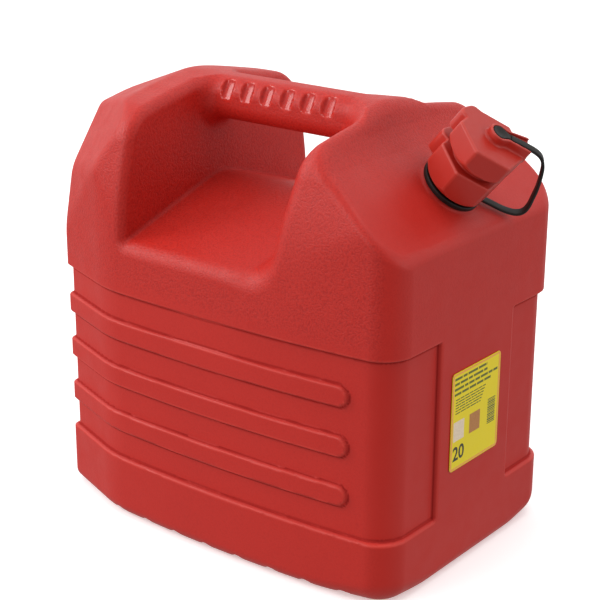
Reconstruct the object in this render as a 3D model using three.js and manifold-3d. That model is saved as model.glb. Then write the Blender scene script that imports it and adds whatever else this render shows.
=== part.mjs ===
// A blow-moulded 20 litre jerrycan with a grip bridge, a slanted neck, a pouring spout stored
// upside down in the neck, a ring nut, a screw cap and a rubber tether that holds the cap.
// Millimetres, +Z up, +X towards the neck end, origin on the floor under the middle of the whole.
import * as THREE from "three";
import { mergeVertices } from "three/addons/utils/BufferGeometryUtils.js";
import Module from "manifold-3d";

const wasm = await Module();
wasm.setup();

// Can: overall form
const bodyLength = 344;
const bodyWidth = 222;
const sideBow = 11;
const ridgeHeight = 353.6;
const roofRadius = 190;
const wall = 2.2;
const rearChamferLength = 70;
const rearEndWidth = 185;
const cornerRadius = 28;
const shoulderRadius = 25;
const shoulderSideWidth = 240;
const sideFootWidth = 256;

// Can: on each rear corner, a side that leans in above a height and a steep shoulder facet above it.
// Both start from half widths and drops under the ridge on the rear end and run out further forward
const leanStartDrop = 126.6;
const facetLowY = 82;
const facetLowDrop = 76.6;
const facetHighY = 48;
const facetHighDrop = 31.6;
const leanFrontX = -102;
const leanFrontY = 119;
const leanFrontDrop = 53.6;
const facetFrontX = -85;
const facetFrontY = 112;
const facetFrontDrop = 30.6;
const rearRoofX = 112;
const rearFaceDrop = 23.1;
const rearEdgeRadius = 9;
const ridgeStartRadius = 60;

// Can: base, bands, ribs and label panel
const footRadius = 10;
const baseLift = 3;
const footRimWidth = 26;
const footNotchCount = 8;
const footNotchPitch = 32.5;
const footNotchFirstX = -97.5;
const footNotchRadius = 5;
const footNotchDepth = 2;
const lowerBandHeight = 53.5;
const upperBandHeight = 193.2;
const bandEdge = 3;
const recessDepth = 3.5;
const ribSink = 0.5;
const ribCount = 3;
const ribHeight = 19;
const ribPitch = 39.5;
const firstRibHeight = 74;
const ribEndX = 135.5;
const panelWidth = 104;

// Can: hand pocket and grip. Depths are under the ridge
const pocketRearX = -81;
const pocketFrontX = 67;
const pocketFrontLean = 9;
const pocketDepth = 117.6;
const pocketCrestDepth = 63.6;
const pocketCrestRadius = 30;
const pocketFloorRadius = 24;
const pocketRearLip = 16;
const pocketFrontLip = 26;
const gripWidth = 36;
const gripDepth = 36;
const gripWall = 5;
const gripRearX = -100;
const gripFrontX = 94;
const grooveCount = 6;
const groovePitch = 20;
const grooveMiddleX = -9.5;
const grooveWidth = 11.5;
const grooveLength = 21;
const grooveDepth = 2;
const grooveTiltDegrees = 52;

// Slanted neck: its axis crosses the sloping flat at this place and drop under the ridge. Heights
// on it, and on all that screws onto it, are measured along that axis from the flat
const neckTiltDegrees = 41;
const neckX = 140.5;
const neckDrop = 58.2;
const flatWidth = 230;
const flatSideDraftDegrees = 3;
const flatEdge = 28;
const flatTopEdge = 12;
const endTopEdge = 8;
const neckPadRadius = 26.5;
const neckPadHeight = 1.6;
const neckRadius = 18.6;
const neckBoreRadius = 15.4;
const neckHeight = 22.5;
const neckThreadLift = 2.2;
const neckThreadTurns = 2.5;

// Threads
const threadPitch = 4;
const threadDepth = 1.5;
const threadTip = 0.9;
const threadRoot = 1.9;
const threadGap = 0.5;
const threadStepsPerTurn = 24;
const threadTaperSteps = 4;
const threadEndShare = 0.3;

// Ring nut
const nutFootHeight = 5.9;
const nutFootWall = 2.8;
const nutPlate = 4.1;
const nutCornerRadius = 28;
const nutHoleRadius = 13.6;
const nutFinRadius = 35.4;
const nutThreadTurns = 1.5;
const collarRadius = 18.6;
const collarLength = 14.9;
const collarThreadLift = 2.5;
const collarThreadTurns = 2.25;

// Cap
const capLift = 6;
const capRoof = 7;
const capCornerRadius = 28.6;
const capEdge = 2;
const capFinRadius = 33.6;
const capThreadTurns = 1.25;
const hexSides = 6;
const hexCornerDegrees = -80;
const finDegrees = -170;
const finThickness = 4;
const finEdge = 3;
const bossDegrees = 40;
const bossWidth = 15;
const bossTail = 9;
const bossReach = 27;
const bossHeight = 8.2;
const channelWidth = 9.6;
const channelDepth = 2.6;
const pinRadius = 2.6;

// Seals and spout
const sealThickness = 1.5;
const linerThickness = 2;
const spoutFlange = 2.5;
const spoutTipRadius = 9;
const spoutWall = 2;
const spoutLength = 96;

// Tether
const tetherRingWall = 3.8;
const tetherRingHeight = 4;
const strapWidth = 6;
const strapThickness = 2.4;
const strapReach = 60;
const strapReachShares = [0, 0.26, 0.6, 0.86, 0.99, 1, 0.95, 0.88, 0.79, 0.7, 0.59, 0.47, 0.32, 0];
const strapRiseShares = [0, 0, 0, 0.03, 0.1, 0.21, 0.36, 0.54, 0.71, 0.85, 0.95, 0.99, 1, 1];
const strapSteps = 36;
const eyeReach = 7;

// Label
const labelWidth = 67;
const labelHeight = 79.4;
const labelMiddleY = -1.6;
const labelMiddleZ = 125.5;
const labelRadius = 3;
const labelThickness = 0.5;

// Fits and facets
const clearance = 0.3;
const overrun = 40;
const weldDistance = 0.0001;
const sideSteps = 8;
const cornerSteps = 5;
const footSteps = 3;
const roundSteps = 36;
const roofSteps = 10;

// Places that follow from the sizes above
const halfLength = bodyLength / 2;
const halfWidth = bodyWidth / 2;
const rearFaceHeight = ridgeHeight - rearFaceDrop;
const pocketFloorHeight = ridgeHeight - pocketDepth;
const pocketCrestHeight = ridgeHeight - pocketCrestDepth;
const neckFootHeight = ridgeHeight - neckDrop;
const neckTilt = THREE.MathUtils.degToRad(neckTiltDegrees);
const neckFrame = new THREE.Matrix4().makeRotationY(neckTilt).setPosition(neckX, 0, neckFootHeight);
const nutBoreRadius = neckRadius + threadDepth + threadGap;
const tetherRingStart = neckPadHeight + 2 * clearance;
const tetherRingTop = tetherRingStart + tetherRingHeight;
const tetherSeatRadius = nutBoreRadius - 2 * clearance;
const tetherSeatHeight = tetherRingTop + 2 * clearance;
const neckThreadStart = tetherSeatHeight + neckThreadLift;
const sealTop = neckHeight + clearance + sealThickness;
const spoutRootRadius = nutHoleRadius - clearance;
const flangeTop = sealTop + clearance + spoutFlange;
const nutStart = tetherSeatHeight + clearance;
const nutHexStart = nutStart + nutFootHeight;
const plateUnderside = flangeTop + clearance;
const nutTop = plateUnderside + nutPlate;
const collarTop = nutTop + collarLength;
const collarThreadStart = nutTop + collarThreadLift;
const capBoreRadius = collarRadius + threadDepth + threadGap;
const capStart = nutTop + capLift;
const linerBottom = collarTop + clearance;
const capUnderside = linerBottom + linerThickness + clearance;
const capTop = capUnderside + capRoof;
const bossTop = capTop + bossHeight;
const channelTail = bossTail - (bossWidth - channelWidth) / 2;
const eyeWidth = channelWidth - 2 * clearance;
const eyeTail = channelTail - clearance;
const tetherRingRadius = nutBoreRadius + tetherRingWall;
const strapLow = tetherRingStart + tetherRingHeight / 2;
const strapHigh = bossTop - channelDepth + clearance + strapThickness / 2;

function solid(geometry) {
  const bare = geometry.clone();
  bare.deleteAttribute("normal");
  bare.deleteAttribute("uv");
  const merged = mergeVertices(bare, weldDistance);
  const triVerts = new Uint32Array(merged.index.array);
  const vertProperties = new Float32Array(merged.attributes.position.array);
  return new wasm.Manifold(new wasm.Mesh({ numProp: 3, vertProperties, triVerts }));
}

function geometryOf(manifold) {
  const mesh = manifold.getMesh();
  const geometry = new THREE.BufferGeometry();
  geometry.setAttribute("position", new THREE.BufferAttribute(mesh.vertProperties, 3));
  geometry.setIndex(new THREE.BufferAttribute(mesh.triVerts, 1));
  geometry.computeVertexNormals();
  return geometry;
}

function shapeOf(points) {
  const ordered = THREE.ShapeUtils.isClockWise(points) ? points.slice().reverse() : points;
  return new THREE.Shape(ordered);
}

// Moves every side of a closed outline inwards by a distance, or outwards by a negative one
function insetOutline(points, distance) {
  const ring = THREE.ShapeUtils.isClockWise(points) ? points.slice().reverse() : points;
  return ring.map((point, i) => {
    const before = point.clone().sub(ring.at(i - 1)).normalize();
    const after = ring[(i + 1) % ring.length].clone().sub(point).normalize();
    const normal = new THREE.Vector2(-before.y - after.y, before.x + after.x).normalize();
    const share = normal.x * -before.y + normal.y * before.x;
    return point.clone().addScaledVector(normal, distance / share);
  });
}

// A polygon whose corners, each given as x, y and a radius, are turned into arcs
function roundedPolygon(corners, steps = cornerSteps) {
  const points = [];
  corners.forEach(([x, y, radius], i) => {
    const corner = new THREE.Vector2(x, y);
    if (!radius) {
      points.push(corner);
      return;
    }
    const last = corners.at(i - 1);
    const next = corners[(i + 1) % corners.length];
    const back = new THREE.Vector2(last[0], last[1]).sub(corner).normalize();
    const ahead = new THREE.Vector2(next[0], next[1]).sub(corner).normalize();
    const halfAngle = Math.acos(THREE.MathUtils.clamp(back.dot(ahead), -1, 1)) / 2;
    const reach = radius / Math.tan(halfAngle);
    const start = corner.clone().addScaledVector(back, reach);
    const end = corner.clone().addScaledVector(ahead, reach);
    const inward = back.clone().add(ahead).normalize();
    const centre = corner.clone().addScaledVector(inward, radius / Math.sin(halfAngle));
    const from = start.clone().sub(centre);
    const sweep = from.cross(end.clone().sub(centre)) > 0 ? 1 : -1;
    const turn = sweep * (Math.PI - 2 * halfAngle);
    for (let k = 0; k <= steps; k += 1) {
      points.push(from.clone().rotateAround(new THREE.Vector2(), (turn * k) / steps).add(centre));
    }
  });
  return points;
}

function prism(points, low, high, edge = 0, edgeSteps = 1) {
  const outline = edge ? insetOutline(points, edge) : points;
  const geometry = new THREE.ExtrudeGeometry(shapeOf(outline), {
    depth: high - low - 2 * edge,
    bevelEnabled: edge > 0,
    bevelSize: edge,
    bevelThickness: edge,
    bevelSegments: edgeSteps,
  });
  return geometry.translate(0, 0, low + edge);
}

// Points in X and Z, swept along Y over the given half width
function sweptAcross(points, half) {
  return prism(points, -half, half).rotateX(Math.PI / 2);
}

// Points in Y and Z, swept along X
function sweptAlong(points, low, high) {
  const turn = new THREE.Matrix4().set(0, 0, 1, 0, 1, 0, 0, 0, 0, 1, 0, 0, 0, 0, 0, 1);
  return prism(points, low, high).applyMatrix4(turn);
}

function lathe(profile, segments = roundSteps) {
  const points = profile.map(([radius, height]) => new THREE.Vector2(radius, height));
  return new THREE.LatheGeometry(points, segments).rotateX(Math.PI / 2);
}

function tube(outer, inner, low, high, segments = roundSteps) {
  return lathe([[inner, low], [outer, low], [outer, high], [inner, high], [inner, low]], segments);
}

function disc(radius, low, high, segments = roundSteps) {
  return lathe([[0, low], [radius, low], [radius, high], [0, high]], segments);
}

// A right-handed thread ridge: base radius, depth (negative for an inner thread) and start height
function threadRidge(base, depth, start, turns) {
  const count = Math.round(turns * threadStepsPerTurn);
  const bury = -Math.sign(depth) * clearance;
  const positions = [];
  const triangles = [];
  for (let i = 0; i <= count; i += 1) {
    const angle = (i / threadStepsPerTurn) * 2 * Math.PI;
    const height = start + (i / threadStepsPerTurn) * threadPitch;
    const taper = Math.min(1, i / threadTaperSteps, (count - i) / threadTaperSteps);
    const tip = base + depth * Math.max(taper, threadEndShare);
    const section = [
      [base + bury, -threadRoot / 2],
      [tip, -threadTip / 2],
      [tip, threadTip / 2],
      [base + bury, threadRoot / 2],
    ];
    section.forEach(([radius, offset]) => {
      positions.push(radius * Math.cos(angle), radius * Math.sin(angle), height + offset);
    });
  }
  const face = (a, b, c) => triangles.push(...(depth < 0 ? [a, c, b] : [a, b, c]));
  const sides = 4;
  for (let i = 0; i < count; i += 1) {
    for (let j = 0; j < sides; j += 1) {
      const a = i * sides + j;
      const b = i * sides + ((j + 1) % sides);
      face(a, a + sides, b);
      face(b, a + sides, b + sides);
    }
  }
  const end = count * sides;
  face(0, 1, 2);
  face(0, 2, 3);
  face(end, end + 2, end + 1);
  face(end, end + 3, end + 2);
  const geometry = new THREE.BufferGeometry();
  geometry.setAttribute("position", new THREE.Float32BufferAttribute(positions, 3));
  geometry.setIndex(triangles);
  return geometry;
}

function onArc(centreX, centreY, radius, angle) {
  return new THREE.Vector2(centreX + radius * Math.cos(angle), centreY + radius * Math.sin(angle));
}

function sideHalfWidth(x) {
  return halfWidth + sideBow * (1 - (x / halfLength) ** 2);
}

// Plan of the can: flat rear end, long rear chamfers, bowed sides, round front corners
function planOutline() {
  const half = [new THREE.Vector2(-halfLength, rearEndWidth / 2)];
  const chamferX = -halfLength + rearChamferLength;
  const cornerX = halfLength - cornerRadius;
  for (let i = 0; i <= sideSteps; i += 1) {
    const x = THREE.MathUtils.lerp(chamferX, cornerX, i / sideSteps);
    half.push(new THREE.Vector2(x, sideHalfWidth(x)));
  }
  const cornerY = sideHalfWidth(cornerX) - cornerRadius;
  for (let i = 1; i <= cornerSteps; i += 1) {
    half.push(onArc(cornerX, cornerY, cornerRadius, (Math.PI / 2) * (1 - i / cornerSteps)));
  }
  const mirrored = half.map((point) => new THREE.Vector2(point.x, -point.y)).reverse();
  return [...half, ...mirrored];
}

// Side view of the can: upright ends, sloping rear roof, level ridge and the sloping neck flat
function sideOutline() {
  const slope = Math.tan(neckTilt);
  const flatLowZ = neckFootHeight - (halfLength - neckX) * slope;
  const flatTopX = neckX - (ridgeHeight - neckFootHeight) / slope;
  return roundedPolygon([
    [-halfLength, -overrun, 0],
    [halfLength, -overrun, 0],
    [halfLength, flatLowZ, endTopEdge],
    [flatTopX, ridgeHeight, flatTopEdge],
    [-rearRoofX, ridgeHeight, ridgeStartRadius],
    [-halfLength, rearFaceHeight, rearEdgeRadius],
  ]);
}

// End view of the can: upright sides, round shoulders and a crowned roof
function endOutline() {
  const half = [];
  const roofCentre = ridgeHeight - roofRadius;
  const fade = roofRadius - shoulderRadius;
  const shoulderY = shoulderSideWidth / 2 - shoulderRadius;
  const meetAngle = Math.asin(shoulderY / fade);
  const shoulderZ = roofCentre + fade * Math.cos(meetAngle);
  for (let i = 0; i < roofSteps; i += 1) {
    half.push(onArc(0, roofCentre, roofRadius, Math.PI / 2 - (meetAngle * i) / roofSteps));
  }
  for (let i = 0; i <= cornerSteps; i += 1) {
    const angle = (Math.PI / 2 - meetAngle) * (1 - i / cornerSteps);
    half.push(onArc(shoulderY, shoulderZ, shoulderRadius, angle));
  }
  half.push(new THREE.Vector2(sideFootWidth / 2, -overrun));
  const mirrored = half.slice(1).map((point) => new THREE.Vector2(-point.x, point.y)).reverse();
  return [...half, ...mirrored];
}

// Everything under the sloping neck flat, with the flat's long edges rounded
function underNeckFlat(gap) {
  const depth = bodyLength + ridgeHeight;
  const half = flatWidth / 2;
  const footHalf = half + depth * Math.tan(THREE.MathUtils.degToRad(flatSideDraftDegrees));
  const section = roundedPolygon([
    [-footHalf, -depth, 0],
    [footHalf, -depth, 0],
    [half, 0, flatEdge],
    [-half, 0, flatEdge],
  ]);
  return sweptAlong(insetOutline(section, gap), -depth, depth).applyMatrix4(neckFrame);
}

// A block that takes away everything above the plane through three points
function blockAbove(low, high, front, gap) {
  const plane = new THREE.Plane().setFromCoplanarPoints(low, high, front);
  if (plane.normal.z < 0) plane.negate();
  const block = new THREE.BoxGeometry(bodyLength, bodyLength, bodyLength);
  block.translate(0, 0, halfLength - gap);
  const up = new THREE.Vector3(0, 0, 1);
  block.applyQuaternion(new THREE.Quaternion().setFromUnitVectors(up, plane.normal));
  return solid(block.translate(low.x, low.y, low.z));
}

function rearFacetCuts(gap) {
  return [-1, 1].flatMap((side) => {
    const below = (x, y, drop) => new THREE.Vector3(x, side * y, ridgeHeight - drop);
    const start = below(-halfLength, rearEndWidth / 2, leanStartDrop);
    const low = below(-halfLength, facetLowY, facetLowDrop);
    const high = below(-halfLength, facetHighY, facetHighDrop);
    const leanFront = below(leanFrontX, leanFrontY, leanFrontDrop);
    const facetFront = below(facetFrontX, facetFrontY, facetFrontDrop);
    return [blockAbove(start, low, leanFront, gap), blockAbove(low, high, facetFront, gap)];
  });
}

// Hand pocket: its walls and lips seen from the side, and its two floors and crest seen from the end
function pocketCut(gap) {
  const top = ridgeHeight + overrun;
  const walls = insetOutline(roundedPolygon([
    [pocketRearX, pocketFloorHeight, pocketFloorRadius],
    [pocketFrontX - 2 * pocketFrontLean, pocketFloorHeight, pocketFloorRadius],
    [pocketFrontX, ridgeHeight - pocketFrontLip, 0],
    [pocketFrontX + pocketFrontLip, ridgeHeight, 0],
    [pocketFrontX + pocketFrontLip, top, 0],
    [pocketRearX - pocketRearLip, top, 0],
    [pocketRearX - pocketRearLip, ridgeHeight - pocketRearLip / 2, 0],
    [pocketRearX, ridgeHeight - 2 * pocketRearLip, 0],
  ]), -gap);
  const reach = halfWidth + sideBow + overrun;
  const slope = (pocketCrestHeight - pocketFloorHeight) / halfWidth;
  const floors = roundedPolygon([
    [-reach, pocketCrestHeight - slope * reach - gap, 0],
    [0, pocketCrestHeight - gap, pocketCrestRadius],
    [reach, pocketCrestHeight - slope * reach - gap, 0],
    [reach, top, 0],
    [-reach, top, 0],
  ]);
  return solid(sweptAcross(walls, reach)).intersect(solid(sweptAlong(floors, -halfLength, halfLength)));
}

function grip(gap) {
  const half = gripWidth / 2 - gap;
  const high = ridgeHeight - gap;
  const low = ridgeHeight - gripDepth + gap;
  const rootRadius = Math.min(half, (high - low) / 2) - clearance;
  const section = roundedPolygon([
    [-half, low, rootRadius],
    [half, low, rootRadius],
    [half, high, rootRadius],
    [-half, high, rootRadius],
  ]);
  return solid(sweptAlong(section, gripRearX, gripFrontX));
}

// Oval finger grooves on both upper flanks of the grip
function gripGrooves() {
  const tilt = THREE.MathUtils.degToRad(grooveTiltDegrees);
  const middleZ = ridgeHeight - gripDepth / 2;
  const flankRadius = gripWidth / 2;
  const bulge = grooveWidth / 2;
  const cuts = [];
  for (let i = 0; i < grooveCount; i += 1) {
    const x = grooveMiddleX + (i - (grooveCount - 1) / 2) * groovePitch;
    [-1, 1].forEach((side) => {
      const cut = new THREE.SphereGeometry(1, 12, 8);
      cut.scale(grooveWidth / 2, grooveLength / 2, bulge);
      cut.translate(0, 0, flankRadius + bulge - grooveDepth);
      cut.rotateX(-side * tilt);
      cut.translate(x, 0, middleZ);
      cuts.push(solid(cut));
    });
  }
  return cuts;
}

// Outer form with a gap of zero, and the hollow inside with a gap of one wall
function canForm(gap) {
  const plan = insetOutline(planOutline(), gap);
  const core = insetOutline(planOutline(), recessDepth + gap);
  const floor = gap ? baseLift + gap : 0;
  const top = ridgeHeight + overrun;
  const footEdge = footRadius - gap;
  let form = solid(prism(plan, floor, lowerBandHeight - 2 * bandEdge, footEdge, footSteps))
    .add(solid(prism(plan, floor + 2 * footEdge, lowerBandHeight - gap, bandEdge)))
    .add(solid(prism(core, floor + footEdge, top)))
    .add(solid(prism(plan, upperBandHeight + gap, top, bandEdge)));
  const panelHalf = panelWidth / 2 - gap;
  const panel = roundedPolygon([
    [0, -panelHalf, 0],
    [halfLength - gap, -panelHalf, bandEdge],
    [halfLength - gap, panelHalf, bandEdge],
    [0, panelHalf, 0],
  ]);
  form = form.add(solid(prism(panel, lowerBandHeight - footRadius, upperBandHeight + footRadius)));
  if (!gap) form = form.add(ribs());
  form = form
    .subtract(pocketCut(gap))
    .add(grip(gap ? gripWall : 0))
    .intersect(solid(sweptAcross(insetOutline(sideOutline(), gap), bodyWidth)))
    .intersect(solid(sweptAlong(insetOutline(endOutline(), gap), -bodyLength, bodyLength)));
  form = form.intersect(solid(underNeckFlat(gap)));
  rearFacetCuts(gap).forEach((cut) => {
    form = form.subtract(cut);
  });
  return form;
}

// Long ribs that wrap the rear end and stop in a round end before the front corners
function ribs() {
  const ribPlan = solid(prism(insetOutline(planOutline(), ribSink), 0, upperBandHeight));
  const rows = [];
  for (let i = 0; i < ribCount; i += 1) {
    const low = firstRibHeight + i * ribPitch;
    rows.push(solid(sweptAcross(roundedPolygon([
      [-bodyLength, low, 0],
      [ribEndX, low, ribHeight / 2 - clearance],
      [ribEndX, low + ribHeight, ribHeight / 2 - clearance],
      [-bodyLength, low + ribHeight, 0],
    ]), bodyWidth)));
  }
  return rows.reduce((sum, row) => sum.add(row)).intersect(ribPlan);
}

// Raised middle of the base, and short notches across the rim it leaves
function baseCuts() {
  const rim = insetOutline(planOutline(), footRimWidth);
  const cuts = [solid(prism(rim, -overrun, baseLift))];
  const reach = halfWidth + sideBow + overrun;
  for (let i = 0; i < footNotchCount; i += 1) {
    const notch = new THREE.CylinderGeometry(footNotchRadius, footNotchRadius, 2 * reach, 12);
    notch.translate(footNotchFirstX + i * footNotchPitch, 0, footNotchDepth - footNotchRadius);
    cuts.push(solid(notch));
  }
  return cuts;
}

function containerBody() {
  let body = canForm(0).subtract(canForm(wall));
  const placed = (geometry) => solid(geometry.applyMatrix4(neckFrame));
  body = body.add(placed(disc(neckPadRadius, -wall / 2, neckPadHeight)));
  body = body.add(placed(disc(tetherSeatRadius, -wall / 2, tetherSeatHeight)));
  body = body.add(placed(disc(neckRadius, -wall / 2, neckHeight)));
  body = body.add(placed(threadRidge(neckRadius, threadDepth, neckThreadStart, neckThreadTurns)));
  body = body.subtract(placed(disc(neckBoreRadius, -overrun, neckHeight + overrun)));
  baseCuts().concat(gripGrooves()).forEach((cut) => {
    body = body.subtract(cut);
  });
  return geometryOf(body);
}

function hexOutline(radius) {
  const points = [];
  for (let i = 0; i < hexSides; i += 1) {
    const angle = THREE.MathUtils.degToRad(hexCornerDegrees + (i * 360) / hexSides);
    points.push(new THREE.Vector2(radius * Math.cos(angle), radius * Math.sin(angle)));
  }
  return points;
}

// Upright grip fin that stands out from a hexagon's flat
function fin(outer, low, high) {
  const inner = outer / 2;
  const points = roundedPolygon([
    [inner, low, 0],
    [outer, low, finEdge],
    [outer, high, finEdge],
    [inner, high, 0],
  ]);
  const shape = prism(points, -finThickness / 2, finThickness / 2);
  shape.rotateX(Math.PI / 2);
  return solid(shape.rotateZ(THREE.MathUtils.degToRad(finDegrees)));
}

function neckSeal() {
  return tube(neckRadius, neckBoreRadius, neckHeight + clearance, sealTop);
}

// Flange on top, tapered tube hanging down inside the can
function spout() {
  const low = sealTop + clearance;
  const tip = flangeTop - spoutLength;
  return lathe([
    [spoutRootRadius - spoutWall, flangeTop],
    [spoutTipRadius - spoutWall, tip],
    [spoutTipRadius, tip],
    [spoutRootRadius, low],
    [neckRadius, low],
    [neckRadius, flangeTop],
    [spoutRootRadius - spoutWall, flangeTop],
  ]);
}

function spoutNut() {
  const foot = lathe([
    [0, nutStart],
    [nutBoreRadius + nutFootWall, nutStart],
    [nutCornerRadius, nutHexStart],
    [0, nutHexStart],
  ]);
  const hexagon = solid(prism(hexOutline(nutCornerRadius), nutStart - overrun, nutHexStart + overrun));
  let nut = solid(prism(hexOutline(nutCornerRadius), nutHexStart, nutTop))
    .add(solid(foot).intersect(hexagon))
    .add(fin(nutFinRadius, nutHexStart, nutTop))
    .add(solid(disc(collarRadius, nutTop - nutPlate / 2, collarTop)))
    .add(solid(threadRidge(collarRadius, threadDepth, collarThreadStart, collarThreadTurns)));
  nut = nut.subtract(solid(disc(nutBoreRadius, nutStart - overrun, plateUnderside)));
  nut = nut.subtract(solid(disc(nutHoleRadius, nutStart, collarTop + overrun)));
  const innerStart = neckThreadStart + threadPitch / 2;
  return geometryOf(nut.add(solid(threadRidge(nutBoreRadius, -threadDepth, innerStart, nutThreadTurns))));
}

function bossOutline(width, tail, reach) {
  return roundedPolygon([
    [-tail, -width / 2, width / 3],
    [reach, -width / 2, 0],
    [reach, width / 2, 0],
    [-tail, width / 2, width / 3],
  ]);
}

// Hexagonal cap with a boss on top, whose channel holds the tether's eye on a pin
function cap() {
  let body = solid(prism(hexOutline(capCornerRadius), capStart, capTop, capEdge));
  const bossTurn = THREE.MathUtils.degToRad(bossDegrees);
  const boss = prism(bossOutline(bossWidth, bossTail, bossReach), capTop - capEdge, bossTop);
  body = body.add(solid(boss.rotateZ(bossTurn)));
  const channel = prism(bossOutline(channelWidth, channelTail, bossReach + overrun),
    bossTop - channelDepth, bossTop + overrun).rotateZ(bossTurn);
  body = body.subtract(solid(channel));
  body = body.add(solid(disc(pinRadius, capTop, bossTop, 16)));
  body = body.add(fin(capFinRadius, capStart, capTop));
  body = body.subtract(solid(disc(capBoreRadius, capStart - overrun, capUnderside)));
  const innerStart = collarThreadStart + threadPitch + threadPitch / 2;
  return geometryOf(body.add(solid(threadRidge(capBoreRadius, -threadDepth, innerStart, capThreadTurns))));
}

function capLiner() {
  return disc(capBoreRadius - clearance, linerBottom, linerBottom + linerThickness);
}

function tetherRing() {
  return tube(tetherRingRadius, nutBoreRadius, tetherRingStart, tetherRingTop);
}

function tetherEye() {
  const tailRadius = eyeWidth / 2 - clearance;
  const outer = shapeOf(roundedPolygon([
    [-eyeTail, -eyeWidth / 2, tailRadius],
    [eyeReach, -eyeWidth / 2, 0],
    [eyeReach, eyeWidth / 2, 0],
    [-eyeTail, eyeWidth / 2, tailRadius],
  ]));
  const hole = new THREE.Path();
  hole.absarc(0, 0, pinRadius + clearance, 0, 2 * Math.PI, true);
  outer.holes.push(hole);
  const settings = { depth: strapThickness, bevelEnabled: false, curveSegments: 10 };
  const eye = new THREE.ExtrudeGeometry(outer, settings);
  eye.translate(0, 0, strapHigh - strapThickness / 2);
  return eye.rotateZ(THREE.MathUtils.degToRad(bossDegrees));
}

// The strap's middle line in its upright plane through the neck axis: out from the ring,
// round a tight bend beyond the can's end, and back over the cap to the eye
function strapLine() {
  const ringEnd = tetherRingRadius + clearance;
  const eyeEnd = eyeReach + clearance;
  const turnIndex = strapReachShares.indexOf(1);
  return new THREE.SplineCurve(strapReachShares.map((reachShare, i) => {
    const near = i < turnIndex ? ringEnd : eyeEnd;
    const reach = THREE.MathUtils.lerp(near, strapReach, reachShare);
    const height = THREE.MathUtils.lerp(strapLow, strapHigh, strapRiseShares[i]);
    return new THREE.Vector2(reach, height);
  }));
}

function tetherStrap() {
  const line = strapLine();
  const upper = [];
  const lower = [];
  for (let i = 0; i <= strapSteps; i += 1) {
    const point = line.getPointAt(i / strapSteps);
    const along = line.getTangentAt(i / strapSteps);
    const across = new THREE.Vector2(-along.y, along.x).multiplyScalar(strapThickness / 2);
    upper.push(point.clone().add(across));
    lower.push(point.clone().sub(across));
  }
  const strap = sweptAcross([...lower, ...upper.reverse()], strapWidth / 2);
  return strap.rotateZ(THREE.MathUtils.degToRad(bossDegrees));
}

function labelSheet() {
  const outline = roundedPolygon([
    [-labelWidth / 2, -labelHeight / 2, labelRadius],
    [labelWidth / 2, -labelHeight / 2, labelRadius],
    [labelWidth / 2, labelHeight / 2, labelRadius],
    [-labelWidth / 2, labelHeight / 2, labelRadius],
  ]);
  return sweptAlong(outline, 0, labelThickness);
}

const redPlastic = new THREE.MeshStandardMaterial({ color: 0xc03a34, roughness: 0.55, metalness: 0 });
const redCap = new THREE.MeshStandardMaterial({ color: 0xb83c30, roughness: 0.5, metalness: 0 });
const blackRubber = new THREE.MeshStandardMaterial({ color: 0x241a14, roughness: 0.6, metalness: 0 });
const blackPlastic = new THREE.MeshStandardMaterial({ color: 0x1c1c1c, roughness: 0.5, metalness: 0 });
const whiteFoam = new THREE.MeshStandardMaterial({ color: 0xe8e6df, roughness: 0.8, metalness: 0 });
const yellowLabel = new THREE.MeshStandardMaterial({ color: 0xf3d51c, roughness: 0.35, metalness: 0 });

const jerrycan = new THREE.Group();

function addPiece(parent, name, geometry, material) {
  const mesh = new THREE.Mesh(geometry, material);
  mesh.name = name;
  parent.add(mesh);
  return mesh;
}

addPiece(jerrycan, "container_body", containerBody(), redPlastic);
const label = addPiece(jerrycan, "label", labelSheet(), yellowLabel);
label.position.set(halfLength + clearance, labelMiddleY, labelMiddleZ);

const neckGroup = new THREE.Group();
neckGroup.position.set(neckX, 0, neckFootHeight);
neckGroup.rotation.y = neckTilt;
jerrycan.add(neckGroup);
addPiece(neckGroup, "neck_seal", neckSeal(), blackRubber);
addPiece(neckGroup, "pouring_spout", spout(), blackPlastic);
addPiece(neckGroup, "spout_nut", spoutNut(), redCap);
addPiece(neckGroup, "tether_ring", tetherRing(), blackRubber);
addPiece(neckGroup, "tether_strap", tetherStrap(), blackRubber);
addPiece(neckGroup, "tether_eye", tetherEye(), blackRubber);
addPiece(neckGroup, "screw_cap", cap(), redCap);
addPiece(neckGroup, "cap_liner", capLiner(), whiteFoam);

jerrycan.updateMatrixWorld(true);
const bounds = new THREE.Box3().setFromObject(jerrycan, true);
jerrycan.position.x = -(bounds.min.x + bounds.max.x) / 2;

export default jerrycan;
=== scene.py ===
"""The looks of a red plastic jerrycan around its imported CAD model.

The moulded pieces are meshed from signed distance fields, which give the soft edges and fillets of
blow moulding. Lengths are millimetres in the can's own frame: +Z up, +X towards the neck end, origin
on the floor under the middle of the can's body. place() turns them into the row's metres.
"""

import math

import bpy
import numpy as np
from mathutils import Matrix, Vector


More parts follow.
